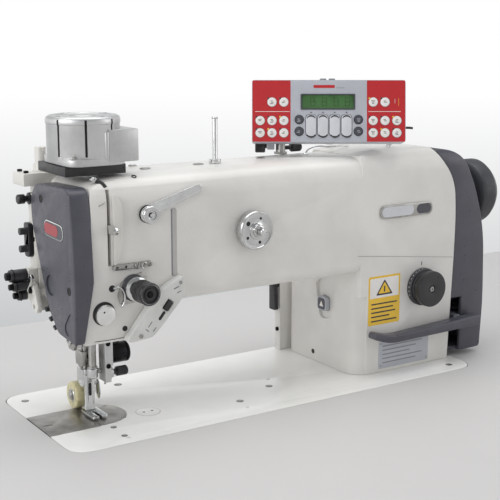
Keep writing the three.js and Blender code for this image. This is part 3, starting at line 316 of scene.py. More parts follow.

# %% [markdown]
# ## The display and dark gaps
#
# The display is a green-lit liquid crystal window: a slightly glowing green film with black segments over
# it. Holes, slots and vents that go into the dark inside of the casting are drawn in a near-black finish,
# which is painted shade; the same finish draws the seam at the head's lower edge.

# %% Display film and the near-black painted shade
def lit_display(name, code):
    material, tree, shader = new_finish(name, Roughness=0.22, IOR=1.5, Emission_Strength=0.12)
    base = linear(code)
    edge = tuple([c * 0.62 for c in base[:3]] + [1.0])
    colour = ramp(tree, grain(tree, 16, 1), edge, base, 0.3, 0.6)
    feed(tree, shader, Base_Color=colour, Emission_Color=colour)
    feed(tree, shader, Normal=bump(tree, grain(tree, 0.4, 1), 0.004, 0.3))
    return material


LCD = lit_display("lit_display_green", "#40693a")
SEGMENT_GREEN = printed_foil("lcd_segment_dark_green", "#335c29")
# Near-black painted shade for holes, slots and vents; it also colours the seam at the head's lower edge.
SHADE_AND_SEAM_BLACK = moulded_plastic("painted_shade_and_seam_black", "#141415", 0.55)
print("all finishes:", len(bpy.data.materials))

# %% [markdown]
# ## Modelling helpers
#
# Three ways of making a piece cover most of this machine.
#
# 1. A *dressed* copy of a CAD node: the CAD shape is right but its edges are knife sharp, so its doubles
#    are merged, its flat faces joined and its edges rounded with a Bevel.
# 2. A *turned* piece: a disc is added at one end of the axis and extruded step by step, each step scaled to
#    its radius, as a lathe would leave it.
# 3. A *plate*: a flat outline with round corners is filled and extruded to its thickness.
#
# An operator acts on everything that is selected, so each helper starts by deselecting.

# %% Selecting and finishing
def deselect():
    if bpy.context.object and bpy.context.object.mode != "OBJECT":
        bpy.ops.object.mode_set(mode="OBJECT")
    bpy.ops.object.select_all(action="DESELECT")


def hold(piece):
    deselect()
    piece.select_set(True)
    bpy.context.view_layer.objects.active = piece
    return piece


def apply_modifier(piece, kind, **settings):
    hold(piece)
    modifier = piece.modifiers.new(kind.title(), kind)
    for key, value in settings.items():
        setattr(modifier, key, value)
    bpy.ops.object.modifier_apply(modifier=modifier.name)


def settle(piece, name, finish):
    """Applies the place, names the piece, gives it its finish and smooths its round faces."""
    hold(piece)
    bpy.ops.object.transform_apply(location=True, rotation=True, scale=True)
    piece.name = name
    piece.data.name = name
    piece.data.materials.clear()
    piece.data.materials.append(finish)
    bpy.ops.object.shade_smooth_by_angle(angle=math.radians(38))
    return piece


def round_edges(piece, width_mm, segments=2, angle=32, clamp=False):
    if width_mm:
        apply_modifier(
            piece,
            "BEVEL",
            width=width_mm * MM,
            segments=segments,
            limit_method="ANGLE",
            angle_limit=math.radians(angle),
            use_clamp_overlap=clamp,
        )
    return piece


def fit_to(piece, body, slot, *stands_for):
    """Attaches the piece to what it moves with and hides what it stands for; slot, its finish's name, is not
    used.
    """
    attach(piece, body)
    if stands_for:
        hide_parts(*stands_for)
    return piece


def body_of(node):
    for body, members in frame["record"]["behaviour"]["bodies"].items():
        if node in members:
            return body
    return "root"


# %% Dressed copies of CAD nodes
def copy_of(node, name):
    """A loose copy of a CAD node's mesh, with its doubles merged and its flat faces joined."""
    piece = bpy.data.objects.new(name, frame["nodes"][node].data.copy())
    bpy.context.scene.collection.objects.link(piece)
    hold(piece)
    bpy.ops.object.mode_set(mode="EDIT")
    bpy.ops.mesh.select_all(action="SELECT")
    bpy.ops.mesh.remove_doubles(threshold=0.01 * MM)
    bpy.ops.mesh.customdata_custom_splitnormals_clear()
    bpy.ops.mesh.faces_shade_flat()
    bpy.ops.mesh.dissolve_limited(angle_limit=math.radians(0.6))
    bpy.ops.object.mode_set(mode="OBJECT")
    return piece


def dress(node, finish, slot, width_mm=0.6, segments=3, angle=32, clamp=False):
    piece = copy_of(node, node + "_dressed")
    round_edges(piece, width_mm, segments, angle, clamp)
    settle(piece, node + "_dressed", finish)
    print("dressed", node, len(piece.data.polygons), "faces")
    return fit_to(piece, body_of(node), slot, node)


# %% Turned pieces
def across(axis):
    """The turn that stands local Z along the axis."""
    return axis.to_track_quat("Z", "X").to_euler()


def turned(name, start, axis, steps, finish, sides=64, edge_mm=0.4, segments=2):
    """steps: (distance, radius) pairs in mm from start, along axis. Each is one extrude and one resize."""
    deselect()
    first_distance, first_radius = steps[0]
    bpy.ops.mesh.primitive_circle_add(
        vertices=sides,
        radius=first_radius * MM,
        fill_type="NGON",
        location=start + axis * first_distance * MM,
        rotation=across(axis),
    )
    piece = bpy.context.object
    bpy.ops.object.transform_apply(location=True, rotation=True, scale=True)
    bpy.ops.object.mode_set(mode="EDIT")
    distance, radius = first_distance, first_radius
    for next_distance, next_radius in steps[1:]:
        move = axis * (next_distance - distance) * MM
        bpy.ops.mesh.extrude_region_move(TRANSFORM_OT_translate={"value": move})
        scale = next_radius / radius
        bpy.ops.transform.resize(value=(scale, scale, scale))
        distance, radius = next_distance, next_radius
    bpy.ops.mesh.select_all(action="SELECT")
    bpy.ops.mesh.normals_make_consistent(inside=False)
    bpy.ops.object.mode_set(mode="OBJECT")
    round_edges(piece, edge_mm, segments)
    return settle(piece, name, finish)


def ring(name, centre, axis, radius_mm, thickness_mm, finish, sides=48, tube_sides=12):
    deselect()
    bpy.ops.mesh.primitive_torus_add(
        location=centre,
        rotation=across(axis),
        major_radius=radius_mm * MM,
        minor_radius=thickness_mm / 2 * MM,
        major_segments=sides,
        minor_segments=tube_sides,
    )
    return settle(bpy.context.object, name, finish)


print("the turn that lays Z along X:", [round(math.degrees(a)) for a in across(X)])

# %% Plates and bars from outlines
def outline_curve(points, radius_mm, steps=6):
    """Corner points in mm, each rounded to radius_mm, as a list of points of one closed line."""
    line = []
    count = len(points)
    for i, corner in enumerate(points):
        here = Vector(corner[:2])
        own = corner[2] if len(corner) > 2 else radius_mm
        before = (Vector(points[i - 1][:2]) - here)
        after = (Vector(points[(i + 1) % count][:2]) - here)
        half = before.angle(after) / 2
        reach = min(own / math.tan(half), 0.49 * before.length, 0.49 * after.length) if own else 0
        if reach < 1e-6:
            line.append(here)
            continue
        a = here + before.normalized() * reach
        b = here + after.normalized() * reach
        for k in range(steps + 1):
            t = k / steps
            line.append(a * (1 - t) ** 2 + here * 2 * t * (1 - t) + b * t**2)
    return line


def plate(name, points, origin, across_axis, up_axis, thickness_mm, finish, radius_mm=1.0, edge_mm=0.3):
    """Fills an outline drawn along across_axis and up_axis, and extrudes it against their cross product."""
    line = outline_curve(points, radius_mm)
    deselect()
    bpy.ops.mesh.primitive_circle_add(vertices=len(line), radius=MM, fill_type="NGON")
    piece = bpy.context.object
    normal = across_axis.cross(up_axis)
    for vertex, point in zip(piece.data.vertices, line):
        vertex.co = origin + (across_axis * point.x + up_axis * point.y) * MM
    piece.data.update()
    bpy.ops.object.mode_set(mode="EDIT")
    bpy.ops.mesh.select_all(action="SELECT")
    bpy.ops.mesh.extrude_region_move(TRANSFORM_OT_translate={"value": normal * thickness_mm * MM})
    bpy.ops.mesh.select_all(action="SELECT")
    bpy.ops.mesh.normals_make_consistent(inside=False)
    bpy.ops.object.mode_set(mode="OBJECT")
    round_edges(piece, edge_mm, 2)
    return settle(piece, name, finish)


def rounded_rectangle(width, height, x=0.0, y=0.0):
    return [
        (x - width / 2, y - height / 2),
        (x + width / 2, y - height / 2),
        (x + width / 2, y + height / 2),
        (x - width / 2, y + height / 2),
    ]


def on_front(name, points, depth_mm, finish, radius_mm=1.0, edge_mm=0.3, y=None):
    """A plate on a face that looks towards the operator; points are (x, z over the bed)."""
    back = ARM_FRONT - 0.05 * MM if y is None else y * MM
    return plate(name, points, Vector((0, back, BED)), X, Z, depth_mm, finish, radius_mm, edge_mm)


def block(name, centre, size_mm, finish, edge_mm=0.4, turn=(0, 0, 0)):
    deselect()
    bpy.ops.mesh.primitive_cube_add(size=1, location=centre, rotation=turn)
    piece = bpy.context.object
    piece.scale = Vector(size_mm) * MM
    bpy.ops.object.transform_apply(location=False, rotation=False, scale=True)
    round_edges(piece, edge_mm, 2)
    return settle(piece, name, finish)


def join(name, pieces):
    """Joins the listed pieces, which keep their own finishes, into one object."""
    hold(pieces[0])
    for piece in pieces:
        piece.select_set(True)
    bpy.context.view_layer.objects.active = pieces[0]
    bpy.ops.object.join()
    pieces[0].name = name
    pieces[0].data.name = name
    return pieces[0]


def carve(piece, tool):
    """Cuts the tool's shape out of the piece, and deletes the tool."""
    apply_modifier(piece, "BOOLEAN", operation="DIFFERENCE", object=tool, solver="EXACT")
    bpy.data.objects.remove(tool)
    hold(piece)
    bpy.ops.object.shade_smooth_by_angle(angle=math.radians(38))
    return piece


def wire(name, points, diameter_mm, finish, resolution=8):
    """A bent wire: a smooth curve through the points, with a round section, turned into a mesh."""
    data = bpy.data.curves.new(name, "CURVE")
    data.dimensions = "3D"
    data.resolution_u = resolution
    data.bevel_depth = diameter_mm / 2 * MM
    data.bevel_resolution = 3
    data.use_fill_caps = True
    spline = data.splines.new("BEZIER")
    spline.bezier_points.add(len(points) - 1)
    for knot, point in zip(spline.bezier_points, points):
        knot.co = point
        knot.handle_left_type = knot.handle_right_type = "AUTO"
    piece = bpy.data.objects.new(name, data)
    bpy.context.scene.collection.objects.link(piece)
    hold(piece)
    bpy.ops.object.convert(target="MESH")
    return settle(bpy.context.object, name, finish)


print("points of a small rounded plate:", len(outline_curve(rounded_rectangle(4, 3), 1.0)))

# %% [markdown]
# ## Screws
#
# The machine is held together by slotted and hexagon-socket screws. One function makes a head with its
# slot or socket sunk by a real cut, facing any way, so screws are the same everywhere.

# %% Screws
def slotted_screw(name, seat, axis, radius_mm, finish=STEEL, slot_turn=0.6, height_mm=1.2):
    head = turned(
        name, seat, axis,
        [(-0.4, radius_mm), (height_mm * 0.6, radius_mm), (height_mm, radius_mm * 0.72)],
        finish, 28, 0.12,
    )
    side = axis.orthogonal().normalized()
    side.rotate(Matrix.Rotation(slot_turn, 3, axis))
    depth = height_mm * 0.6
    tool = block(
        "slot_tool",
        Vector((0, 0, 0)),
        (radius_mm * 2.4, max(0.35, radius_mm * 0.26), depth * 2),
        finish,
        0,
    )
    cross = axis.cross(side)
    tool.data.transform(Matrix((side, cross, axis)).transposed().to_4x4())
    tool.data.transform(Matrix.Translation(seat + axis * height_mm * MM))
    return carve(head, tool)


def socket_screw(name, seat, axis, radius_mm, finish=BLUED, height_mm=2.0):
    head = turned(name, seat, axis, [(-0.4, radius_mm), (height_mm, radius_mm)], finish, 32, 0.2)
    tool = turned(
        "socket_tool",
        seat,
        axis,
        [(height_mm * 0.35, radius_mm * 0.52), (height_mm + 1, radius_mm * 0.52)],
        finish,
        6,
        0,
    )
    return carve(head, tool)


def sunk_hole(name, seat, axis, radius_mm):
    """A dark cup that lies flush in a face: a screw hole seen from outside, its darkness painted shade."""
    return turned(
        name, seat, axis, [(-0.2, radius_mm), (0.06, radius_mm), (0.07, radius_mm * 0.5)], SHADE_AND_SEAM_BLACK, 24, 0
    )


# %% [markdown]
# ## Camera, floor and light
#
# The camera stands to the operator's left, a little over the arm, with a long lens. The floor is a pale
# slab level with the bed's working face, as a sewing table is, with a hole that the bed and oil pan hang
# in. Three large soft lamps and a pale sky give the even light of a catalogue studio. The sky is dimmer on
# the operator's side, so the faces that look that way stay a little darker than the tops.

# %% Camera
camera_data = bpy.data.cameras.new("camera")
camera_data.lens = 79.24
camera_data.sensor_width = 36
camera = bpy.data.objects.new("camera", camera_data)
camera.location = (-0.4197, -0.92008, 0.46503)
camera.rotation_euler = (math.radians(90 - 11.52), 0, math.radians(-33.01))
bpy.context.scene.collection.objects.link(camera)
bpy.context.scene.camera = camera
print("camera", tuple(round(c, 3) for c in camera.location))

# %% Floor with a cut-out for the bed
FLOOR_GAP = 0.8
slab_finish = floor_laminate("pale_floor_laminate", "#cfcdcc")
floor = block("floor", Vector((0.2, -0.60, BED - 0.0105)), (4200, 1900, 20), slab_finish, 0)
hole = plate(
    "floor_hole",
    [
        (bed_low.x / MM - FLOOR_GAP, bed_low.y / MM - FLOOR_GAP),
        (bed_high.x / MM + FLOOR_GAP, bed_low.y / MM - FLOOR_GAP),
        (bed_high.x / MM + FLOOR_GAP, bed_high.y / MM + FLOOR_GAP),
        (bed_low.x / MM - FLOOR_GAP, bed_high.y / MM + FLOOR_GAP),
    ],
    Vector((0, 0, BED - 60 * MM)),
    X,
    Y,
    120,
    slab_finish,
    22,
    0,
)
carve(floor, hole)
print("floor corners:", len(floor.data.vertices))

# %% Lamps and sky
def softbox(name, place_at, look_at, size, watts):
    data = bpy.data.lights.new(name, "AREA")
    data.shape = "RECTANGLE"
    data.size, data.size_y = size
    data.energy = watts
    lamp = bpy.data.objects.new(name, data)
    lamp.location = place_at
    lamp.rotation_euler = (Vector(look_at) - Vector(place_at)).to_track_quat("-Z", "Y").to_euler()
    bpy.context.scene.collection.objects.link(lamp)
    return lamp


softbox("key_left", (-1.9, -0.35, 1.1), (0.2, 0, 0.2), (1.4, 1.0), 17)
softbox("top", (0.3, 0.1, 1.9), (0.2, 0, 0.2), (2.0, 1.6), 20)
softbox("fill_right", (1.7, -1.2, 0.9), (0.25, 0, 0.2), (1.0, 1.2), 5)
world = bpy.data.worlds.new("studio_sky")
bpy.context.scene.world = world
world.use_nodes = True
sky_tree = world.node_tree
sky_tree.nodes.clear()
direction = add(
    sky_tree, "ShaderNodeSeparateXYZ",
    {"Vector": add(sky_tree, "ShaderNodeTexCoord").outputs["Generated"]}
)
height = add(
    sky_tree, "ShaderNodeMapRange", {"Value": direction.outputs["Z"], "From Min": -0.3, "From Max": 0.7}
)
sky_ramp = add(sky_tree, "ShaderNodeValToRGB", {"Fac": height.outputs["Result"]}).color_ramp
sky_ramp.elements[0].position, sky_ramp.elements[0].color = 0.0, linear("#b9bcbe")
sky_ramp.elements[1].position, sky_ramp.elements[1].color = 0.24, linear("#ffffff")
for place_in_ramp, code in ((0.45, "#ffffff"), (0.7, "#b4b6b8")):
    sky_ramp.elements.new(place_in_ramp).color = linear(code)
sky = sky_tree.nodes[-1].outputs["Color"]
dimmed = {
    "Value": direction.outputs["Y"], "From Min": -1.0, "From Max": 0.1, "To Min": 0.6, "To Max": 1.0
}
room = add(sky_tree, "ShaderNodeMapRange", dimmed)
background = add(sky_tree, "ShaderNodeBackground", {"Color": sky, "Strength": room.outputs["Result"]})
add(sky_tree, "ShaderNodeOutputWorld", {"Surface": background.outputs[0]})
bpy.context.scene.view_settings.view_transform = "Standard"
print("lamps:", len(bpy.data.lights))

# %% [markdown]
# ## The castings and covers
#
# The arm, bed and covers keep the CAD's shape. A sand casting has no sharp edge, and a moulded cover has
# less than a millimetre of edge radius, so each gets its own bevel width.

# %% Dress the large bodies
dress("arm_casting", ENAMEL, "light_paint", 1.1, clamp=True)
dress("bed_casting", BED_ENAMEL, "light_paint", 0.7)
dress("oil_pan", COVER_DARK, "dark_cover", 1.0)
dress("face_cover", COVER, "dark_cover", 1.4, 3, 40)
dress("end_cover", COVER, "dark_cover", 1.6, 4, 40)
dress("lift_bracket", BRACKET_ENAMEL, "light_paint", 0.8)
dress("take_up_guard", BRACKET_ENAMEL, "light_paint", 0.5)
dress("guard_bar", GREY_ABS, "grey_plastic", 1.2)
dress("motor_bracket", KNOB, "black_plastic", 0.6)
dress("reverse_lever", COVER, "dark_cover", 1.4)

# %% Dress the steel and small parts
dress("needle_plate", PLATE_STEEL, "plate_steel", 0.25)
dress("slide_plate", PLATE_STEEL, "plate_steel", 0.25)
dress("presser_foot", CHROME, "chrome", 0.3)
dress("roller_arm", STEEL, "steel", 0.4)
dress("feed_dog", STEEL, "steel", 0.15)
dress("bar_bracket", ALUMINIUM, "aluminium", 0.5)
dress("take_up_lever", CHROME, "chrome", 0.4)
dress("thread_guide", CHROME, "chrome", 0.4)
dress("stitch_button", KNOB, "black_plastic", 0.3)
dress("column_button", FOIL_SILVER, "grey_plastic", 0.6)
dress("valve_block", KNOB, "black_plastic", 0.5)
fittings_body = dress("air_fittings", KNOB, "black_plastic", 0.5)
fittings_body.data.materials.append(BRACKET_ENAMEL)
for polygon in fittings_body.data.polygons:
    polygon.material_index = int(polygon.center.x > -40.2 * MM)
dress("hand_lifter", KNOB, "black_plastic", 0.6)
dress("lift_screw", BRACKET_ENAMEL, "steel", 0.4)
dress("badge_plate", STEEL, "steel", 0.3)
for node, finish, slot_name in (
    ("main_shaft", STEEL, "steel"),
    ("upper_pulley", STEEL, "steel"),
    ("lower_pulley", STEEL, "steel"),
    ("timing_belt", RUBBER, "belt_rubber"),
    ("rotary_hook", CHROME, "steel"),
    ("hook_shaft", STEEL, "steel"),
    ("bobbin_case", CHROME, "steel"),
    ("bobbin", TURNED, "aluminium"),
):
    dress(node, finish, slot_name, 0.25)

# %% [markdown]
# ## Turned parts
#
# Knobs, wheels and bars are round, and a CAD circle of thirty sides shows its corners. Each is turned again
# with more sides, on the same axis and with the same radius as its node.

# %% Handwheel
wheel = turned(
    "handwheel_rim",
    Vector((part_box("handwheel")[0].x, SHAFT.y, SHAFT.z)),
    X,
    [(0, 9.4), (0, 14), (0, 30), (0.8, 33), (3, 36), (7, 37), (20, 37), (25, 33.6), (29.6, 29.6), (32, 26),
     (32, 24.6), (28, 22.6), (26, 21), (26, 11), (24.6, 10), (24.6, 2)],
    COVER_DARK,
    112,
    0.5,
)
fit_to(wheel, "drive_shaft", "dark_cover", "handwheel")
for i in range(6):
    angle = i * math.pi / 3
    seat = Vector((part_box("handwheel")[0].x + 25.94 * MM, 0, SHAFT.z))
    seat += (Y * math.cos(angle) + Z * math.sin(angle)) * 16 * MM
    fit_to(sunk_hole(f"handwheel_hole_{i + 1}", seat, X, 2.6), "drive_shaft", "dark_cover")
fit_to(
    slotted_screw(
        "handwheel_screw", Vector((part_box("handwheel")[0].x + 29 * MM, 0, SHAFT.z)), X, 6, STEEL, 0.3, 2.4
    ),
    "drive_shaft",
    "steel",
)
print("handwheel faces:", len(wheel.data.polygons))

# %% [markdown]
# ## The roller, the bars and the needle
#
# The roller behind the foot is a cast tyre on a turned aluminium hub, held by one slotted screw. The tyre,
# the hub and the screw are separate turned pieces because they are of three materials. The presser bar and
# the needle are plain turned work; the needle thickens step by step towards its shank.

# %% Feed roller, bars and needle
roller_low, roller_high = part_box("feed_roller")
roller_middle = (roller_low + roller_high) / 2
roller_start = Vector((roller_low.x, roller_middle.y, roller_middle.z))
tyre = turned(
    "roller_tyre",
    roller_start,
    X,
    [(0, 8.2), (0, 12.2), (0.5, 12.9), (1.2, 13.2), (8.8, 13.2), (9.5, 12.9), (10, 12.2), (10, 8.2)],
    TYRE,
    96,
    0.2,
)
fit_to(tyre, "roller", "roller_rubber", "feed_roller")
hub = turned(
    "roller_hub", roller_start, X,
    [
        (-0.6, 3.3), (-0.6, 5.6), (0.1, 6.2), (0.1, 8.15), (-0.15, 8.15), (-0.15, 8.0), (9.0, 8.0),
        (9.0, 3.3)
    ],
    TURNED, 48, 0.15,
)
fit_to(hub, "roller", "aluminium")
hub_screw = slotted_screw("roller_screw", roller_start + X * -0.6 * MM, -X, 4.6, STEEL, 0.9, 1.4)
fit_to(hub_screw, "roller", "steel")
for i in range(3):
    angle = i * 2.094 + 0.5
    seat = roller_start + (Y * math.cos(angle) + Z * math.sin(angle)) * 6.7 * MM
    fit_to(sunk_hole(f"roller_hole_{i + 1}", seat, -X, 0.8), "roller", "aluminium")


def bar(name, node, radius_mm, finish, slot_name, chamfer=0.8):
    """A plain round bar in the place of an upright CAD bar."""
    low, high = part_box(node)
    foot = Vector(((low.x + high.x) / 2, (low.y + high.y) / 2, low.z))
    length = (high.z - low.z) / MM
    steps = [
        (0, radius_mm - chamfer), (chamfer, radius_mm), (length - chamfer, radius_mm),
        (length, radius_mm - chamfer)
    ]
    piece = turned(name, foot, Z, steps, finish, 40, 0.1)
    return fit_to(piece, body_of(node), slot_name, node)


bar("presser_bar_ground", "presser_bar", 4.0, STEEL, "steel")
needle_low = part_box("needle")[0]
needle = turned(
    "needle_blade",
    Vector((0, 0, needle_low.z)),
    Z,
    [(0, 0.06), (3.0, 0.55), (5.4, 0.8), (20, 0.8), (21.5, 1.1), (36, 1.1)],
    CHROME,
    20,
    0,
)
fit_to(needle, "needle_unit", "chrome", "needle")
dress("needle_bar", STEEL, "steel", 0.2)
clamp_screw = turned(
    "needle_clamp_screw", at(4.6, 0, 43), X, [
        (0, 1.8), (5, 1.8), (5.2, 2.5), (8.2, 2.5), (8.4, 2.2)
    ], STEEL, 24, 0.1
)
fit_to(clamp_screw, "needle_unit", "steel")
print("tyre faces:", len(tyre.data.polygons), "hub faces:", len(hub.data.polygons))

# %% [markdown]
# ## Knurled knobs
#
# A knurl keeps oily fingers from slipping. It is made as on the real part: the band's side faces are
# selected, and every second one is inset and pushed in, which leaves straight grooves round the band.

# %% Knurl a band of a turned piece
def knurl_band(piece, axis, start, low_mm, high_mm, radius_mm, depth_mm=0.5, thickness_mm=0.12):
    mesh = piece.data
    hold(piece)
    for polygon in mesh.polygons:
        polygon.select = False
    side = axis.orthogonal().normalized()
    cross = axis.cross(side)
    found = []
    for polygon in mesh.polygons:
        offset = polygon.center - start
        along = offset.dot(axis) / MM
        radial = offset - axis * offset.dot(axis)
        flat = abs(polygon.normal.dot(axis)) < 0.2
        if flat and low_mm < along < high_mm and abs(radial.length / MM - radius_mm) < 0.6:
            found.append((math.atan2(radial.dot(cross), radial.dot(side)), polygon.index))
    found.sort()
    for order, (_, index) in enumerate(found):
        mesh.polygons[index].select = order % 2 == 0
    bpy.ops.object.mode_set(mode="EDIT")
    bpy.ops.mesh.select_mode(type="FACE")
    bpy.ops.mesh.inset(thickness=thickness_mm * MM, depth=-depth_mm * MM, use_individual=True)
    bpy.ops.object.mode_set(mode="OBJECT")
    return piece


def front_knob(name, x, z, steps, finish, sides=72, edge_mm=0.3):
    """A turned piece on an axis that runs from the arm's front towards the operator."""
    return turned(name, Vector((x * MM, ARM_FRONT, BED + z * MM)), -Y, steps, finish, sides, edge_mm)


def node_axis(node):
    centre = middle(node)
    return centre.x / MM, (centre.z - BED) / MM


print("dial axis in mm from the needle:", node_axis("stitch_dial"))

# %% [markdown]
# ## The stitch dial
#
# The dial is a moulded knob with a grooved collar, in front of a fixed ring with a scale. Paint on a ring
# could be a pattern in the material, but twenty small dots are easy to place by angle and stay sharp close
# up.

# %% Stitch dial
dial_x, dial_z = node_axis("stitch_dial")
dial_ring = front_knob(
    "dial_scale_ring", dial_x, dial_z, [
        (0.3, 12), (0.3, 20.5), (4.4, 20.5), (5.7, 19.6), (6.0, 12)
    ], COVER_DARK, 96
)
fit_to(dial_ring, "root", "dark_cover", "dial_ring")
dial = front_knob(
    "dial_knob",
    dial_x,
    dial_z,
    [(-8, 5), (7, 5), (7, 18.6), (7.6, 19.2), (11.2, 19.2), (11.6, 18.7), (12.2, 18.7), (12.6, 19.4),
     (17.2, 19.4),
     (18.0, 18.6), (18.0, 4.4), (16.4, 3.9), (16.2, 1)],
    KNOB,
    144,
    0.12,
)
knurl_band(dial, -Y, Vector((dial_x * MM, ARM_FRONT, BED + dial_z * MM)), 7.8, 11.2, 19.2, 0.45, 0.08)
fit_to(dial, "stitch_dial", "black_plastic", "stitch_dial")
dial_screw = socket_screw(
    "dial_screw", Vector((dial_x * MM, ARM_FRONT - 16.2 * MM, BED + dial_z * MM)), -Y, 2.8, STEEL, 1.2
)
fit_to(dial_screw, "stitch_dial", "steel")
dots = []
for i in range(20):
    angle = math.radians(200 - i * 13)
    seat = Vector((dial_x * MM, ARM_FRONT - 3.2 * MM, BED + dial_z * MM))
    outward = X * math.cos(angle) + Z * math.sin(angle)
    dots.append(
        turned(
            f"dial_dot_{i}", seat + outward * 20.45 * MM, outward, [(0, 0.55), (0.12, 0.5)], FOIL_WHITE,
            10, 0
        )
    )
dial_dots = join("dial_scale_dots", dots)
fit_to(dial_dots, "root", "grey_plastic")
mark = on_front("dial_mark", rounded_rectangle(0.9, 4.2, dial_x - 0.6, dial_z + 25.5), 0.12, INK, 0.2, 0)
fit_to(mark, "root", "black_plastic")
print("dial faces:", len(dial.data.polygons))

# %% [markdown]
# ## Tension
#
# The thread runs between two polished discs on a stud, and a grooved knob presses them together. Each layer
# is turned on the same axis, so the discs, stud and knob stay apart as on the real machine.

# %% Tension and pre-tension
tension_x, tension_z = node_axis("tension_knob")
tension_seat = Vector((tension_x * MM, ARM_FRONT, BED + tension_z * MM))
tension_base = front_knob(
    "tension_base", tension_x, tension_z,
    [(0.3, 12.4), (1.6, 12.4), (3.6, 10.4), (4.4, 8.6), (5.0, 8.2)], COVER_DARK, 72,
)
fit_to(tension_base, "root", "black_plastic", "tension_post")
disc_steps = [
    (5.2, 5), (5.2, 7.4), (7.4, 11.2), (7.9, 11.2), (8.1, 6.6), (8.5, 6.6), (8.7, 11.2), (9.2, 11.2),
    (10.8, 7.2), (11.2, 5)
]
tension_discs = front_knob("tension_discs", tension_x, tension_z, disc_steps, CHROME, 72, 0.08)
fit_to(tension_discs, "root", "chrome")
tension_stud = front_knob(
    "tension_stud", tension_x, tension_z, [(4, 2.6), (34.4, 2.6), (35, 2.2)], BLUED, 24, 0.1
)
fit_to(tension_stud, "root", "chrome")
tension_grip = front_knob(
    "tension_grip",
    tension_x,
    tension_z,
    [(12, 3.0), (12, 8.2), (15.6, 8.6), (15.8, 9.8), (16.6, 10.5), (26.5, 10.5), (26.9, 9.9), (27.5, 9.9),
     (27.9, 10.5), (33.0, 10.5), (34.0, 9.6), (34.0, 7.6), (32.2, 7.2), (32.2, 5.4), (33.4, 5.2),
     (33.4, 3.0), (28, 3.0)],
    KNOB,
    96,
    0.12,
)
knurl_band(tension_grip, -Y, tension_seat, 16.8, 26.4, 10.5, 0.42, 0.08)
fit_to(tension_grip, "tension_knob", "black_plastic", "tension_knob")
tension_rim = ring("tension_rim", tension_seat - Y * 33.7 * MM, Y, 8.9, 0.7, STEEL, 64, 8)
fit_to(tension_rim, "tension_knob", "steel")

pre_x, pre_z = node_axis("pre_tension_nut")
pre_seat = Vector((pre_x * MM, ARM_FRONT, BED + pre_z * MM))
pre_disc = front_knob(
    "pre_tension_disc", pre_x, pre_z, [(3.2, 4), (3.2, 7.6), (4.2, 8.2), (5.2, 8.2), (5.4, 4)], BLUED, 56,
    0.1
)
fit_to(pre_disc, "root", "chrome")
pre_nut = front_knob(
    "pre_tension_grip",
    pre_x,
    pre_z,
    [(6, 2.5), (6, 7.2), (6.6, 7.9), (8.2, 7.9), (8.6, 7.2), (10.4, 6.8), (11.0, 8.2), (13.4, 8.2), (14, 7.7),
     (14, 4.4), (13.2, 4.0), (13.2, 2.5), (9, 2.5)],
    CHROME,
    64,
    0.1,
)
knurl_band(pre_nut, -Y, pre_seat, 11.0, 13.4, 8.2, 0.3, 0.06)
fit_to(pre_nut, "pre_tension_nut", "chrome", "pre_tension_nut")
pre_stud = front_knob("pre_tension_stud", pre_x, pre_z, [(5, 2), (14.2, 2), (14.8, 1.6)], BLUED, 20, 0.1)
fit_to(pre_stud, "root", "chrome")
print("tension grip faces:", len(tension_grip.data.polygons))

# %% [markdown]
# ## The bobbin winder
#
# A chromed flange with a shallow pan, a small spring and a bent pin that holds the bobbin. The flange is
# turned in one go, the spring is a ring and the pin is a wire.

# %% Winder
winder_x, winder_z = node_axis("winder_disc")
winder = front_knob(
    "winder_flange",
    winder_x,
    winder_z,
    [(-8, 4), (0.6, 4), (0.6, 6), (1.4, 6), (1.4, 16.4), (2.4, 18.4), (4.6, 19), (8.6, 19), (10.2, 18.2),
     (10.2, 17.0),
     (9.4, 16.4), (9.4, 8.6), (10.6, 8.2), (11.2, 6.2), (13.4, 5.6), (13.8, 3.4), (20.6, 3.0), (21.6, 2.2)],
    CHROME,
    96,
    0.15,
)
fit_to(winder, "winder", "aluminium", "winder_disc")
for i, (angle, radius_mm) in enumerate(((2.5, 2.3), (3.7, 1.5), (1.2, 1.3), (5.0, 1.6))):
    seat = Vector((winder_x * MM, ARM_FRONT - 9.4 * MM, BED + winder_z * MM))
    seat += (X * math.cos(angle) + Z * math.sin(angle)) * 12.2 * MM
    fit_to(sunk_hole(f"winder_hole_{i + 1}", seat, -Y, radius_mm), "winder", "aluminium")
winder_spring = ring(
    "winder_spring", Vector(
        (winder_x * MM, ARM_FRONT - 14.4 * MM, BED + winder_z * MM)
    ), Y, 4.2, 1.1, STEEL, 36, 8
)
fit_to(winder_spring, "winder", "steel")
winder_pin = wire(
    "winder_pin",
    [Vector((winder_x * MM, ARM_FRONT - 18.5 * MM, BED + winder_z * MM)) + step for step in
     (Vector((0, 0, 0)), Vector((4, 0.4, -0.6)) * MM, Vector((8, 0, -1)) * MM, Vector((9, 0, -4)) * MM)],
    1.2,
    STEEL,
)
fit_to(winder_pin, "winder", "steel")
print("winder faces:", len(winder.data.polygons))

# %% [markdown]
# ## Two small knobs under the head and the posts
#
# The height knob has straight grooves like the larger ones. The solenoid is a drawn steel can with a rolled
# edge. The posts are dressed copies, because their CAD shapes already are what they look like.

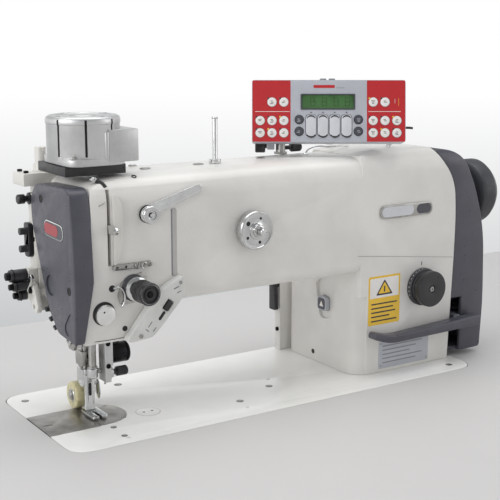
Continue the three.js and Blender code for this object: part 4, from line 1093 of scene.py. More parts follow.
# %% Small knobs
height_seat = Vector((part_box("height_knob")[0].x, middle("height_knob").y, middle("height_knob").z))
height_knob = turned(
    "height_knob_grip", height_seat, X,
    [
        (0, 2.6), (3.6, 2.6), (3.8, 3.4), (4.4, 4.6), (14.4, 4.6), (15.5, 3.8), (15.5, 2.0), (14.6, 1.6)
    ], KNOB, 48, 0.1,
)
knurl_band(height_knob, X, height_seat, 4.6, 14.3, 4.6, 0.3, 0.08)
fit_to(height_knob, "height_knob", "black_plastic", "height_knob")
coil_seat = Vector(
    (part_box("wiper_solenoid")[0].x, middle("wiper_solenoid").y, middle("wiper_solenoid").z)
)
solenoid = turned(
    "solenoid_can", coil_seat, X,
    [
        (0, 3), (0, 9.3), (0.6, 10), (18.6, 10), (18.9, 9.2), (19.6, 9.2), (19.9, 10), (21.8, 10),
        (22.7, 9.0), (22.7, 3)
    ],
    BLUED, 64, 0.2,
)
fit_to(solenoid, "root", "black_plastic", "wiper_solenoid")
dress("panel_post", STEEL, "steel", 0.3)
dress("thread_post", CHROME, "chrome", 0.2)
print("height knob faces:", len(height_knob.data.polygons))

# %% [markdown]
# ## The trimmer's motor
#
# The motor's can is a machined aluminium casting: a round body with narrow cooling slots milled into its
# side, a square flange that bolts to a black bracket, and a cast terminal box. The slots are real cuts.

# %% Motor can, flange and terminal box
motor_low, motor_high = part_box("motor_housing")
CAN_HEIGHT = 41 * MM
motor_base = motor_high.z - CAN_HEIGHT
can_foot = Vector((-0.5 * MM, 4 * MM, motor_base))
can = turned(
    "motor_can", can_foot, Z,
    [(0.3, 20), (0.3, 33.4), (34.0, 33.4), (34.3, 34), (37.6, 34), (39.6, 33.2), (41, 30.8), (41, 25),
     (40.4, 24.4),
     (40.4, 12), (41, 11.4), (41, 3)],
    ALUMINIUM, 112, 0.25,
)
for i in range(8):
    angle = (i + 0.55) * math.pi / 4
    outward = X * math.cos(angle) + Y * math.sin(angle)
    slot_tool = block(
        "motor_slot_tool",
        can_foot + outward * 33.8 * MM + Z * 22 * MM,
        (7, 2.2, 33), SHADE_AND_SEAM_BLACK, 0, (0, 0, angle),
    )
    carve(can, slot_tool)
fit_to(can, "root", "aluminium", "motor_housing")
flange = plate(
    "motor_flange",
    [(-29, -29.6, 15), (29, -29.6, 15), (29, 34, 8), (-29, 34, 8)],
    Vector((0, 0, motor_low.z)), X, Y, 6.6, ALUMINIUM, 10, 1.0,
)
fit_to(flange, "root", "aluminium")
terminal_box = block(
    "motor_terminal_box", Vector(
        (23.7 * MM, -11 * MM, motor_base + 14.5 * MM)
    ), (29.6, 38.2, 29.2), ALUMINIUM, 1.1
)
fit_to(terminal_box, "root", "aluminium")
# The near-black core behind the slots is painted shade inside the can.
core = turned("motor_core", can_foot, Z, [(3, 20), (3, 31.0), (39, 31.0), (39, 20)], SHADE_AND_SEAM_BLACK, 48, 0)
fit_to(core, "root", "black_plastic")
rib = turned(
    "motor_rib", Vector((7.6 * MM, -27.4 * MM, motor_base + 1 * MM)), Z, [(0, 2.6), (26.4, 2.6)],
    ALUMINIUM, 28, 0.8
)
fit_to(rib, "root", "aluminium")
motor_marks = []
for i, angle in enumerate((0.3, 1.87, 3.4, 4.97)):
    outward = X * math.cos(angle) + Y * math.sin(angle)
    motor_marks.append(
        sunk_hole(f"motor_cap_hole_{i}", can_foot + outward * 27.6 * MM + Z * 41 * MM, Z, 1.7)
    )
for i, (x, y) in enumerate(((-24, -24), (24, -24), (-24, 29), (24, 29))):
    seat = Vector((x * MM, y * MM, motor_low.z + 6.6 * MM))
    fit_to(socket_screw(f"motor_screw_{i + 1}", seat, Z, 2.0, STEEL, 1.6), "root", "steel")
for i, (y, z) in enumerate(((-24, 5), (2, 5), (-24, 24), (2, 24))):
    seat = Vector((38.5 * MM, y * MM, motor_base + z * MM))
    fit_to(
        slotted_screw(f"motor_box_screw_{i + 1}", seat, X, 2.2, BLUED, 0.4 + i, 1.0), "root",
        "black_plastic"
    )
fit_to(join("motor_cap_holes", motor_marks), "root", "black_plastic")
gland = turned(
    "motor_cable_gland", Vector((31 * MM, 8 * MM, motor_base + 11 * MM)), Y,
    [(0, 6.2), (2.4, 6.2), (2.6, 5.0), (6.6, 4.4), (6.8, 3)], KNOB, 32, 0.3,
)
fit_to(gland, "root", "black_plastic")
print("motor:", len(can.data.polygons), "faces in the can")

# %% [markdown]
# ## The operating panel
#
# The panel stands on its own axes, which the tilt joint and the keys' joints give: one along its face, one
# into it, and their cross product up. Its case is a silver-painted sheet box; the face carries a printed
# foil with two red fields, a green window, four rocking keys and round keys. Layers of a foil are 0.15 mm
# apart here, enough to keep them from touching.

# %% The panel's own axes
joints = {joint["name"]: joint for joint in frame["record"]["behaviour"]["joints"]}
PANEL_X = Vector(joints["panel_tilt"]["axis"]).normalized()
PANEL_IN = Vector(joints["mode_key_1_press"]["axis"]).normalized()
PANEL_UP = PANEL_X.cross(PANEL_IN)
PANEL_ORIGIN = Vector(joints["panel_tilt"]["pos_m"])
PANEL_SIZE = (157, 63.5)
PANEL_MIDDLE = 48.5
PANEL_BOTTOM = 0.75
PANEL_CORNER = (PANEL_MIDDLE - PANEL_SIZE[0] / 2, PANEL_BOTTOM + PANEL_SIZE[1])
PANEL_FACE = -30


def panel_at(x, z, out=0.0):
    """A point of the panel's face: x from its left edge, z down from its top edge, out from the face."""
    along_face = PANEL_X * (PANEL_CORNER[0] + x) + PANEL_UP * (PANEL_CORNER[1] - z)
    return PANEL_ORIGIN + (along_face + PANEL_IN * (PANEL_FACE - out)) * MM


def on_panel(name, points, thickness_mm, finish, radius_mm=0.5, edge_mm=0.0, out=0.0):
    flipped = [(p[0], -p[1], *p[2:]) for p in points]
    return plate(
        name, flipped, panel_at(0, 0, out), PANEL_X, PANEL_UP, thickness_mm, finish, radius_mm, edge_mm
    )


def box_points(x0, z0, x1, z1):
    return [(x0, z1), (x1, z1), (x1, z0), (x0, z0)]


def key_marks(name, x, z, kind, finish, out):
    """A plain pictogram of a few bars: no letter and no real symbol."""
    pieces = []
    for k in range(2 + kind % 2):
        low = -1.5 + k * 1.35 + 0.2 * (kind % 3)
        left, right = -2.1 + 0.5 * ((kind + k) % 3), 1.6 - 0.4 * ((kind * 2 + k) % 3)
        pieces.append(
            on_panel(
                f"{name}_{k}", box_points(x + left, z + low, x + right, z + low + 0.55), 0.08, finish,
                0.1, 0, out
            )
        )
    return pieces


print("panel axis along:", PANEL_X, "up:", PANEL_UP)

# %% Case, foil and fields
dress("panel_case", FOIL_SILVER, "silver_foil", 0.9, clamp=True)
panel_pieces = [
    on_panel("field_left", box_points(0.5, 0.5, 39.4, 63.0), 0.14, FOIL_RED, 0.8, 0, 0.02),
    on_panel("field_right", box_points(117.4, 0.5, 156.5, 63.0), 0.14, FOIL_RED, 0.8, 0, 0.02),
    on_panel("line_left", box_points(3.3, 32.0, 38.6, 32.5), 0.08, FOIL_WHITE, 0.1, 0, 0.16),
    on_panel("line_right", box_points(118.8, 32.0, 152.0, 32.5), 0.08, FOIL_WHITE, 0.1, 0, 0.16),
    on_panel("rule_long", box_points(149.6, 18.4, 149.9, 26.6), 0.08, FOIL_YELLOW, 0.1, 0, 0.16),
    on_panel("rule_short", box_points(145.8, 19.2, 146.1, 24.0), 0.08, FOIL_WHITE, 0.1, 0, 0.16),
    on_panel("top_bar", box_points(62.8, 5.2, 84.6, 8.2), 0.1, FOIL_RED, 1.0, 0, 0.02),
    on_panel("top_rule", box_points(86.0, 7.8, 94.5, 8.2), 0.08, INK_GREY, 0.1, 0, 0.02),
]
for piece in panel_pieces:
    fit_to(piece, "panel", "red_foil" if piece.name.startswith(("field", "top_bar")) else "silver_foil")
print("fields and lines:", len(panel_pieces))

# %% [markdown]
# ## The window
#
# A dark frame stands half a millimetre over a green film. The digits are bars of a darker green that lie
# behind the frame's face, all seven bars of each, as a switched-off display shows them.

# %% Window and its digits
dress("display_window", LCD, "display_green", 0.15)
bezel = on_panel("window_bezel", box_points(49.6, 14.2, 105.4, 30.4), 0.5, FOIL_DARK, 1.0, 0.1, 0.0)
carve(bezel, on_panel("bezel_tool", box_points(50.9, 15.3, 104.1, 29.2), 4, FOIL_DARK, 0.5, 0, -2))
fit_to(bezel, "panel", "black_plastic")
SEGMENTS = (
    (0, 0, 5, 1), (0, 4.0, 5, 5), (0, 8.2, 5, 9.2), (0, 0.6, 0.9, 4.4), (4.1, 0.6, 5, 4.4),
    (0, 4.6, 0.9, 8.6), (4.1, 4.6, 5, 8.6)
)
segments = []
for digit, left in enumerate((59.5, 71.5, 83.5, 95.0)):
    for k, (x0, z0, x1, z1) in enumerate(SEGMENTS):
        points = box_points(left + x0, 17.6 + z0, left + x1, 17.6 + z1)
        segments.append(on_panel(f"digit_{digit}_{k}", points, 0.06, SEGMENT_GREEN, 0.2, 0, -0.38))
fit_to(join("window_digits", segments), "panel", "display_green")
print("display bars:", len(segments))

# %% [markdown]
# ## The round keys
#
# Each key is a domed spot in the foil with a dark rim, two or three plain bars and a small lamp at its
# upper left. They repeat in three rows and six columns, with two places left free, so one loop makes them.

# %% Round keys
KEY_COLUMNS = (8.4, 20.5, 32.6, 123.8, 135.9, 148.0)
KEY_ROWS = (22.6, 41.5, 54.0)
caps, rims, marks, lamps = [], [], [], []
for row, z in enumerate(KEY_ROWS):
    for column, x in enumerate(KEY_COLUMNS):
        if row == 0 and column in (0, 5):
            continue
        seat = panel_at(x, z, 0.15)
        rims.append(
            turned(
                f"rim_{row}{column}", seat, -PANEL_IN, [(0, 4.95), (0.15, 4.95), (0.25, 4.7)], INK_GREY,
                36, 0
            )
        )
        caps.append(
            turned(
                f"cap_{row}{column}", seat, -PANEL_IN, [(0.1, 4.6), (0.55, 4.5), (0.75, 3.9), (0.8, 2.0)],
                FOIL_WHITE, 36, 0
            )
        )
        marks += key_marks(f"mark_{row}{column}", x, z, row * 6 + column, INK, 0.93)
        lamp_finish = FOIL_YELLOW if (row + column) % 3 == 0 else INK
        lamps.append(
            turned(
                f"lamp_{row}{column}", panel_at(x - 3.9, z - 3.9, 0.15), -PANEL_IN,
                [(0, 0.9), (0.3, 0.9), (0.5, 0.6)], lamp_finish, 16, 0
            )
        )
for name, pieces, slot_name in (
    ("key_rims", rims, "black_plastic"),
    ("key_caps", caps, "silver_foil"),
    ("key_marks", marks, "black_plastic"),
    ("key_lamps", lamps, "silver_foil"),
):
    fit_to(join(name, pieces), "panel", slot_name)
print("round keys:", len(caps))

# %% [markdown]
# ## Rocking keys and mode keys
#
# The four tall keys rock about their middle and carry a printed arc at each end. The arcs are cut as
# outlines between two curves. The four dark keys are turned and move on their own, so each rides on its own
# joint.

# %% Rocking keys and mode keys
for i in range(1, 5):
    dress(f"rocker_{i}", FOIL_SILVER_LIGHT, "silver_foil", 0.5)
    centre_x = 60.35 + (i - 1) * 12.1
    arcs = []
    for side, z_middle in ((-1, 40.2), (1, 54.8)):
        steps = [math.radians(20 + 140 * k / 12) for k in range(13)]
        outer = [
            (centre_x + 4.7 * math.cos(a), z_middle + side * (-0.3 + 4.6 * math.sin(a)), 0)
            for a in steps
        ]
        inner = [
            (centre_x + 4.2 * math.cos(a), z_middle + side * (-0.3 + 3.0 * math.sin(a)), 0)
            for a in reversed(steps)
        ]
        points = outer + inner
        if side > 0:
            points = list(reversed(points))
        arcs.append(on_panel(f"rocker_arc_{i}_{side}", points, 0.1, INK, 0, 0, 1.16))
    fit_to(join(f"rocker_arcs_{i}", arcs), f"rocker_{i}", "black_plastic")
    dot = turned(
        f"rocker_dot_{i}", panel_at(centre_x, 33.2, 0.0), -PANEL_IN, [(0, 0.7), (0.2, 0.7)], INK, 16, 0
    )
    fit_to(dot, "panel", "black_plastic")
mode_places = [(47.9, 41.0), (47.9, 53.0), (109.1, 41.0), (109.1, 53.0)]
for i, (x, z) in enumerate(mode_places, 1):
    seat = middle(f"mode_key_{i}")
    cap = turned(
        f"mode_key_cap_{i}", seat, -PANEL_IN,
        [(-1.5, 3.0), (-1.5, 4.3), (0.9, 4.3), (1.5, 3.8), (1.6, 1.5)], FOIL_DARK, 48, 0,
    )
    fit_to(cap, f"mode_key_{i}", "black_plastic", f"mode_key_{i}")
    tick = join(f"mode_key_mark_{i}", key_marks(f"mode_mark_{i}", x, z, i, FOIL_SILVER, 1.23))
    fit_to(tick, f"mode_key_{i}", "silver_foil")
print("mode keys:", len(mode_places))

# %% [markdown]
# ## Under the panel
#
# The panel is held by a grooved knob on its tilt axis and a thumbscrew at the post. A bright bent wire on
# the arm's top keeps the thread away from both. Knobs are turned and grooved; the wire is a curve with a
# section.

# %% Clamping knob, post and the wire bracket under the panel
knob_foot = PANEL_ORIGIN - PANEL_X * 16 * MM
panel_grip = turned(
    "panel_knob_grip", knob_foot, -PANEL_X,
    [
        (-1.7, 3.0), (0, 3.0), (0, 6.6), (0.8, 7.4), (9.8, 7.4), (10.6, 6.6), (10.6, 4.4), (9.8, 4.0),
        (9.8, 1.0)
    ], KNOB, 64, 0.12,
)
knurl_band(panel_grip, -PANEL_X, knob_foot, 0.9, 9.7, 7.4, 0.6, 0.1)
fit_to(panel_grip, body_of("panel_knob"), "black_plastic", "panel_knob")
post = middle("panel_post")
thumbscrew = turned(
    "post_thumbscrew", Vector((post.x + 4.6 * MM, post.y, ARM_TOP + 6.4 * MM)), X,
    [(0, 2.2), (8, 2.2), (8.4, 4.0), (9.2, 4.8), (19.4, 4.8), (20.4, 4.0), (20.4, 1.5)], KNOB, 48, 0.12,
)
knurl_band(
    thumbscrew, X, Vector((post.x + 4.6 * MM, post.y, ARM_TOP + 6.4 * MM)), 9.3, 19.3, 4.8, 0.4, 0.1
)
fit_to(thumbscrew, "root", "black_plastic")
thread_bracket = wire(
    "thread_bracket",
    [
        at(x, y, (ARM_TOP - BED) / MM + z)
        for x, y, z in (
            (254, 10, -1), (255, 10, 3), (259, 9, 6.4), (285, 8, 6.8), (309, 8, 5.4), (313, 9, 3),
            (314, 10, -1)
        )
    ],
    1.7, CHROME, 10,
)
fit_to(thread_bracket, "root", "chrome")
for i, x in enumerate((254, 314)):
    foot = Vector((x * MM, 10 * MM, ARM_TOP))
    fit_to(
        turned(
            f"thread_bracket_foot_{i + 1}", foot, Z, [(-0.6, 3.4), (1.2, 3.4), (1.6, 2.8), (1.6, 1)],
            CHROME, 32, 0.1
        ),
        "root", "chrome"
    )
print("panel knob faces:", len(panel_grip.data.polygons))

# %% [markdown]
# ## The panel from behind
#
# The back is a plain sheet with six screws and nine cooling slots. Two clips sit on the upper edge, and a
# short rubber-covered rod leaves the case on the right.

# %% Panel's edges, rod and back
for i, x in enumerate((69.5, 78.5)):
    lug = on_panel(f"panel_clip_{i + 1}", box_points(x, -1.8, x + 6.6, 0.4), 8, INK_GREY, 0.8, 0.4, -10)
    fit_to(lug, "panel", "black_plastic")
rod_start = panel_at(157.2, 47.8, -10)
panel_rod = wire(
    "panel_rod",
    [rod_start, rod_start + PANEL_X * 5 * MM, rod_start + PANEL_X * 8.5 * MM - PANEL_UP * 0.4 * MM],
    2.6, KNOB,
)
fit_to(panel_rod, "panel", "black_plastic")
back_plate = plate(
    "panel_back_plate", [(-6, -5.5), (-6, -58), (-151, -58), (-151, -5.5)],
    panel_at(0, 0, -22.02), -PANEL_X, PANEL_UP, 0.8, ALUMINIUM, 4, 0.2,
)
fit_to(back_plate, "panel", "silver_foil")
for i, (x, z) in enumerate(((9, 9), (148, 9), (9, 54), (148, 54), (78, 9), (78, 54))):
    seat = panel_at(x, z, -22.7)
    fit_to(
        slotted_screw(f"panel_back_screw_{i + 1}", seat, PANEL_IN, 2.3, BLUED, 0.3 + i, 1.0), "panel",
        "black_plastic"
    )
# The nine cooling slots are near-black plates on the sheet: painted shade.
vents = []
for i in range(9):
    x = 96 + i * 5.2
    points = [(-x, -18), (-x, -40), (-(x + 2.2), -40), (-(x + 2.2), -18)]
    vents.append(
        plate(f"vent_{i}", points, panel_at(0, 0, -22.78), -PANEL_X, PANEL_UP, 0.12, SHADE_AND_SEAM_BLACK, 1, 0)
    )
fit_to(join("panel_vents", vents), "panel", "black_plastic")
print("panel's box on its own axes:", PANEL_SIZE)

# %% [markdown]
# ## The head's face cover
#
# The left cover is a moulding with a blank oval badge, two deep screw holes, a round dimple and a long oval
# one. The dimples are cut into the dressed cover; the badge is a separate plate in its own shallow seat.

# %% Face cover's dimples, badge and screws
face_cover = bpy.data.objects["face_cover_dressed"]
COVER_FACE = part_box("face_cover")[0].x


def ellipse(centre, size, tilt=0.0, steps=40):
    points = []
    for k in range(steps):
        a = 2 * math.pi * k / steps
        u, v = size[0] / 2 * math.cos(a), size[1] / 2 * math.sin(a)
        points.append(
            (
                centre[0] + u * math.cos(tilt) - v * math.sin(tilt),
                centre[1] + u * math.sin(tilt) + v * math.cos(tilt), 0
            )
        )
    return points


def stadium(centre, length, width, tilt=0.0, steps=10):
    """A slot's outline: two half circles and two straight sides, along a tilted axis."""
    points = []
    reach, radius = (length - width) / 2, width / 2
    for side in (1, -1):
        for k in range(steps + 1):
            a = -math.pi / 2 + math.pi * k / steps + (0 if side > 0 else math.pi)
            u, v = side * reach + radius * math.cos(a), radius * math.sin(a)
            points.append(
                (
                    centre[0] + u * math.cos(tilt) - v * math.sin(tilt),
                    centre[1] + u * math.sin(tilt) + v * math.cos(tilt), 0
                )
            )
    return points


def on_cover(name, points, depth_mm, finish, edge_mm=0.0, sink_mm=0.0):
    """A plate on the face cover's left face: points are (y, z over the bed), thickness towards -X."""
    mirrored = [(-y, z, *rest) for y, z, *rest in points]
    mirrored.reverse()
    return plate(
        name, mirrored, Vector((COVER_FACE + sink_mm * MM, 0, BED)), -Y, Z, depth_mm, finish, 0, edge_mm
    )


carve(face_cover, on_cover("dimple_tool", ellipse((3.2, 131.8), (21, 19.6)), 4, COVER, 0, 1.7))
carve(face_cover, on_cover("oval_tool", stadium((-36.2, 102.8), 25, 12.5, 2.28), 4, COVER, 0, 0.8))
carve(face_cover, on_cover("badge_tool", stadium((-8.3, 184.7), 43.6, 16.0, 0.03), 4, COVER, 0, 0.7))
badge_pieces = [
    on_cover("cover_badge_rim", stadium((-8.3, 184.7), 42.8, 15.2, 0.03), 1.2, CHROME, 0.3, 0.65),
    on_cover("cover_badge_field", stadium((-8.3, 184.7), 40.6, 13.0, 0.03), 0.12, FOIL_DARK, 0, -0.56),
    on_cover("cover_badge_colour", stadium((-3.6, 184.8), 30.0, 10.2, 0.03), 0.12, FOIL_BADGE, 0, -0.70),
]
for piece in badge_pieces:
    fit_to(piece, "root", "red_foil" if piece.name.endswith("colour") else "dark_cover")
for i, (y, z) in enumerate(((19, 210), (-38, 134))):
    seat = Vector((COVER_FACE, y * MM, BED + z * MM))
    # Each deep screw hole is a near-black well whose colour is painted shade.
    well = turned(
        f"cover_screw_well_{i + 1}", seat, -X,
        [(-2.6, 1), (-2.6, 3.0), (0.1, 3.3), (0.25, 3.6), (0.1, 3.9), (-0.3, 3.9)], SHADE_AND_SEAM_BLACK, 36, 0,
    )
    fit_to(well, "root", "black_plastic")
    screw = socket_screw(f"cover_screw_{i + 1}", seat + X * 2.6 * MM, -X, 2.3, BLUED, 1.2)
    fit_to(screw, "root", "black_plastic")
print("face cover faces:", len(face_cover.data.polygons))

# %% [markdown]
# ## The head's front
#
# Small things sit round the needle bar's slot: a bent wire guide, an eyelet bar, a cap over the needle
# bar's oil hole, the check spring, screws and the seam of the lower edge.

# %% Head front
front_y = ARM_FRONT / MM


def shoulder_y(z):
    """The front's depth at height z over the bed: flat, and then round over the shoulder to the top."""
    rise = min(max((z - 209) / 24, 0), 1)
    t = 1 - math.sqrt(1 - rise)
    return front_y + 24 * t * t


# The dark curve where the take-up slot runs over the shoulder is painted shade.
slot_tail = wire(
    "take_up_slot_tail",
    [
        at(x, shoulder_y(z) + 0.9, z)
        for x, z in ((-1.4, 224.6), (-2.4, 226.6), (-4.4, 228.8), (-7.4, 230.4))
    ],
    4.0, SHADE_AND_SEAM_BLACK,
)
fit_to(slot_tail, "root", "black_plastic")
wire_guide = wire(
    "head_wire_guide",
    [
        at(-10.5, shoulder_y(209.4) - 0.2, 209.4), at(-8, front_y - 1.0, 210.6),
        at(-5.6, front_y - 1.0, 211.6), at(-4.4, front_y + 0.2, 212)
    ],
    0.9, STEEL,
)
fit_to(wire_guide, "root", "steel")
eyelet_bar = on_front("eyelet_bar", stadium((20.5, 152.6), 40, 5.4), 3.0, STEEL, 0, 0.6)
for x in (4.6, 13.4):
    carve(
        eyelet_bar,
        turned("eyelet_tool", at(x, front_y + 1, 152.6), -Y, [(0, 1.3), (6, 1.3)], STEEL, 20, 0)
    )
fit_to(eyelet_bar, "root", "steel")
for i, (x, z, radius_mm) in enumerate(((24.5, 152.6, 3.0), (36.6, 152.6, 2.2))):
    fit_to(
        slotted_screw(f"eyelet_screw_{i + 1}", at(x, front_y - 3.0, z), -Y, radius_mm, STEEL, 0.5, 1.6),
        "root", "steel"
    )
eyelet_eye = ring("eyelet_eye", at(31, front_y - 4.6, 152.4), Y, 2.6, 1.0, CHROME, 32, 8)
fit_to(eyelet_eye, "root", "chrome")
cap = turned(
    "needle_cap", at(-7.5, front_y, 110.4), -Y, [
        (-0.4, 9.6), (2.0, 9.6), (3.2, 9.1), (3.6, 7.8), (3.7, 2)
    ], CHROME_SATIN, 64, 0.1
)
fit_to(cap, "root", "chrome")
# A near-black ring set up and to the left of the cap is its painted shadow.
cap_shadow = turned(
    "needle_cap_painted_shadow", at(-8.3, front_y, 111.5), -Y, [
        (-0.4, 10.9), (0.5, 10.9), (0.8, 10.4), (0.8, 6)
    ], SHADE_AND_SEAM_BLACK, 64, 0
)
fit_to(cap_shadow, "root", "black_plastic")
fit_to(sunk_hole("needle_cap_hole", at(-9.4, front_y - 3.66, 113.5), -Y, 0.9), "root", "black_plastic")
for i, (x, z, radius_mm) in enumerate(((0.4, 133.4, 3.2), (12.3, 94.7, 2.6))):
    fit_to(sunk_hole(f"head_hole_{i + 1}", at(x, front_y, z), -Y, radius_mm), "root", "black_plastic")
check_spring = wire(
    "check_spring",
    [
        at(x, front_y - y, z)
        for x, y, z in (
            (1.2, 1, 133.6), (6.2, 3, 134.6), (10.2, 3.4, 130.4), (11.4, 3.2, 124), (9.6, 3.0, 117.6),
            (7.6, 2.6, 115.2)
        )
    ],
    1.9, CHROME, 12,
)
fit_to(check_spring, "root", "chrome")
check_plate = on_front(
    "check_plate", [(5.4, 126), (9, 138.6), (31, 146), (35.6, 141), (33, 130), (22, 118), (8, 117)], 1.4,
    STEEL, 4, 0.3
)
fit_to(check_plate, "root", "steel")

# The groove for the thread's cover on the front, and the pin and screws on the arm's top.
# The groove's grey and the darker stripe along its left side are painted shade.
groove = on_front("front_groove", stadium((64.5, 169.2), 64.7, 6.0, math.pi / 2), 0.14, GROOVE_SHADE_GREY, 0, 0)
groove_shade = on_front(
    "front_groove_shade", stadium((62.3, 169.2), 63.0, 1.4, math.pi / 2), 0.2, INK_GREY, 0, 0
)
fit_to(groove, "root", "light_paint")
fit_to(groove_shade, "root", "light_paint")
lower_seam = wire(
    "head_lower_seam", [at(x, front_y - 0.05, z) for x, z in ((-17.6, 86.6), (0, 86.2), (14, 86.6))], 0.6,
    SHADE_AND_SEAM_BLACK
)
fit_to(lower_seam, "root", "black_plastic")
top_z = (ARM_TOP - BED) / MM
arm_top_screw = slotted_screw("arm_top_screw", at(-9, -33, 230.6), Z, 3.4, CHROME, 0.8, 3.0)
fit_to(arm_top_screw, "root", "chrome")
# The oil hole's near-black cup is painted shade.
oil_hole = turned(
    "arm_oil_hole", at(31, -33.5, 231.2), (Z - Y * 0.45).normalized(),
    [(-1.5, 2.4), (0.5, 2.4), (0.5, 1.6), (-0.4, 1.6)], SHADE_AND_SEAM_BLACK, 24, 0
)
fit_to(oil_hole, "root", "black_plastic")
for i, (x, y) in enumerate(((60, 0), (118, 0), (196, 8), (60, 26), (300, 30), (392, 22))):
    height = top_z if x < 290 else top_z + 7
    fit_to(
        slotted_screw(
            f"arm_top_plug_{i + 1}", at(x, y, height), Z, 4.2 if y else 5.4, STEEL, 0.4 + i, 0.9
        ),
        "root", "steel"
    )
hump_pin = turned(
    "hump_pin", at(338, -24, top_z + 4.6), Z,
    [(-1.5, 5.0), (1.0, 5.0), (1.6, 3.2), (6.4, 3.2), (7.0, 4.0), (9.2, 4.0), (10, 3.2)], CHROME, 40, 0.2
)
fit_to(hump_pin, "root", "chrome")
post_cap = turned(
    "thread_post_cap",
    Vector((middle("thread_post").x, middle("thread_post").y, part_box("thread_post")[1].z)), Z,
    [(-0.6, 3.1), (1.0, 3.1), (1.4, 2.6)], CHROME, 32, 0.1
)
fit_to(post_cap, "root", "chrome")
print("arm top over the bed in mm:", round(top_z, 1))

# %% [markdown]
# ## The guard bar
#
# A moulded bar guards the needle bar's drive. It has a slot, two screws and a few printed strokes, which
# are thin plates that lie on its face.

# %% Guard bar's slot, screw and plain signs
bar_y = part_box("guard_bar")[0].y / MM
signs = []
for k, (x, z, length, width, tilt) in enumerate(
    (
        (33, 97.6, 6.4, 1.0, 0.88), (37.4, 92.2, 5.0, 1.0, 0.88), (30.0, 92.4, 4.4, 1.0, 2.45),
        (61, 128.6, 6.0, 1.2, 0.35), (63.6, 124.2, 4.6, 1.0, 0.35)
    )
):
    signs.append(
        on_front(f"sign_{k}", stadium((x, z), length, width, tilt), 0.12, INK_GREY, 0, 0, bar_y + 0.04)
    )
fit_to(join("guard_signs", signs), "root", "grey_plastic")
# The slot is a near-black plate on the bar's face: painted shade.
guard_slot = on_front(
    "guard_slot", stadium((45.4, 104.2), 9.6, 3.0, 0.88), 0.14, SHADE_AND_SEAM_BLACK, 0, 0, bar_y + 0.04
)
fit_to(guard_slot, "root", "black_plastic")
fit_to(socket_screw("guard_screw_1", at(23.5, bar_y, 88), -Y, 2.2, STEEL, 0.8), "root", "steel")
fit_to(socket_screw("guard_screw_2", at(65.4, bar_y, 133), -Y, 1.8, STEEL, 0.6), "root", "steel")
print("guard signs:", len(signs))

# %% [markdown]
# ## The column
#
# The column carries a blank two-part badge, a plain yellow label with simple bars instead of its signs, a
# blank type plate with four rivets, and the seam where its lower cover meets the casting.

# %% Column's label, plate and seam
column_seam = wire(
    "column_seam",
    [at(x, front_y - 0.02, z) for x, z in ((281.4, 131.0), (320, 126.6), (370, 120.6), (414.6, 115.2))],
    0.7, SEAM_GREY,
)
fit_to(column_seam, "root", "light_paint")
label = on_front("plain_label", rounded_rectangle(43, 53, 318, 80), 0.14, FOIL_YELLOW, 2.2, 0)
fit_to(label, "root", "silver_foil")
# Each printed layer of the label lies a little further out than the one under it.
LABEL_PRINT = front_y - 0.19
LABEL_SIGN = front_y - 0.28
LABEL_SIGN_FIELD = front_y - 0.37
LABEL_SIGN_BAR = front_y - 0.44
label_marks = [
    on_front(
        "label_field", rounded_rectangle(39, 21.4, 318, 93.6), 0.08, FOIL_WHITE, 1.2, 0, LABEL_PRINT
    )
]
for k, (x, z, w, h) in enumerate(
    (
        (318, 76.4, 35, 1.5), (315.4, 71.8, 30, 1.5), (317, 67.2, 33, 1.5), (313, 62.6, 25, 1.5),
        (318, 57.9, 35, 1.5)
    )
):
    label_marks.append(
        on_front(f"label_bar_{k}", rounded_rectangle(w, h, x, z), 0.08, INK, 0.3, 0, LABEL_PRINT)
    )
label_marks.append(
    on_front(
        "label_sign", [(306.6, 85.6), (329.4, 85.6), (318, 102.4)], 0.08, INK, 1.0, 0, LABEL_SIGN
    )
)
label_marks.append(
    on_front(
        "label_sign_field", [(309.6, 87.4), (326.4, 87.4), (318, 99.6)], 0.06, FOIL_YELLOW, 0.8, 0,
        LABEL_SIGN_FIELD
    )
)
label_marks.append(
    on_front("label_sign_bar", rounded_rectangle(1.8, 6.4, 318, 92), 0.05, INK, 0.5, 0, LABEL_SIGN_BAR)
)
fit_to(join("label_marks", label_marks), "root", "silver_foil")
type_plate = on_front("type_plate", rounded_rectangle(70, 31, 347, 19.4), 0.5, FOIL_SILVER, 1.5, 0.1)
fit_to(type_plate, "root", "silver_foil")
plate_marks = []
for k in range(5):
    plate_marks.append(
        on_front(
            f"type_bar_{k}",
            rounded_rectangle(56 - 9 * (k % 3), 1.3, 345 - 4.5 * (k % 3), 28.6 - k * 4.6), 0.06, INK_GREY,
            0.3, 0, front_y - 0.56
        )
    )
fit_to(join("type_plate_bars", plate_marks), "root", "silver_foil")
for i, (x, z) in enumerate(((314.6, 7), (379.4, 7), (314.6, 31.8), (379.4, 31.8))):
    rivet = turned(
        f"type_rivet_{i + 1}", at(x, front_y - 0.5, z), -Y, [(0, 1.3), (0.15, 1.2), (0.22, 0.6)], STEEL,
        20, 0
    )
    fit_to(rivet, "root", "steel")
badge_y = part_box("badge_plate")[0].y / MM
badge_light = on_front(
    "badge_light_field", stadium((333, 174), 43, 10.6), 0.1, FOIL_SILVER_LIGHT, 0, 0, badge_y - 0.02
)
badge_dark = on_front(
    "badge_dark_field", stadium((369, 174), 20, 10.6), 0.1, FOIL_DARK, 0, 0, badge_y - 0.02
)
fit_to(badge_light, "root", "silver_foil")
fit_to(badge_dark, "root", "black_plastic")
print("label marks:", len(label_marks), "type plate bars:", len(plate_marks))

# %% [markdown]
# ## The column's left face
#
# The button that is set in a recess carries a dark field with a pale arrow. The field is a thin plate in
# front of the button, with the arrow in front of it, and both move with the button.

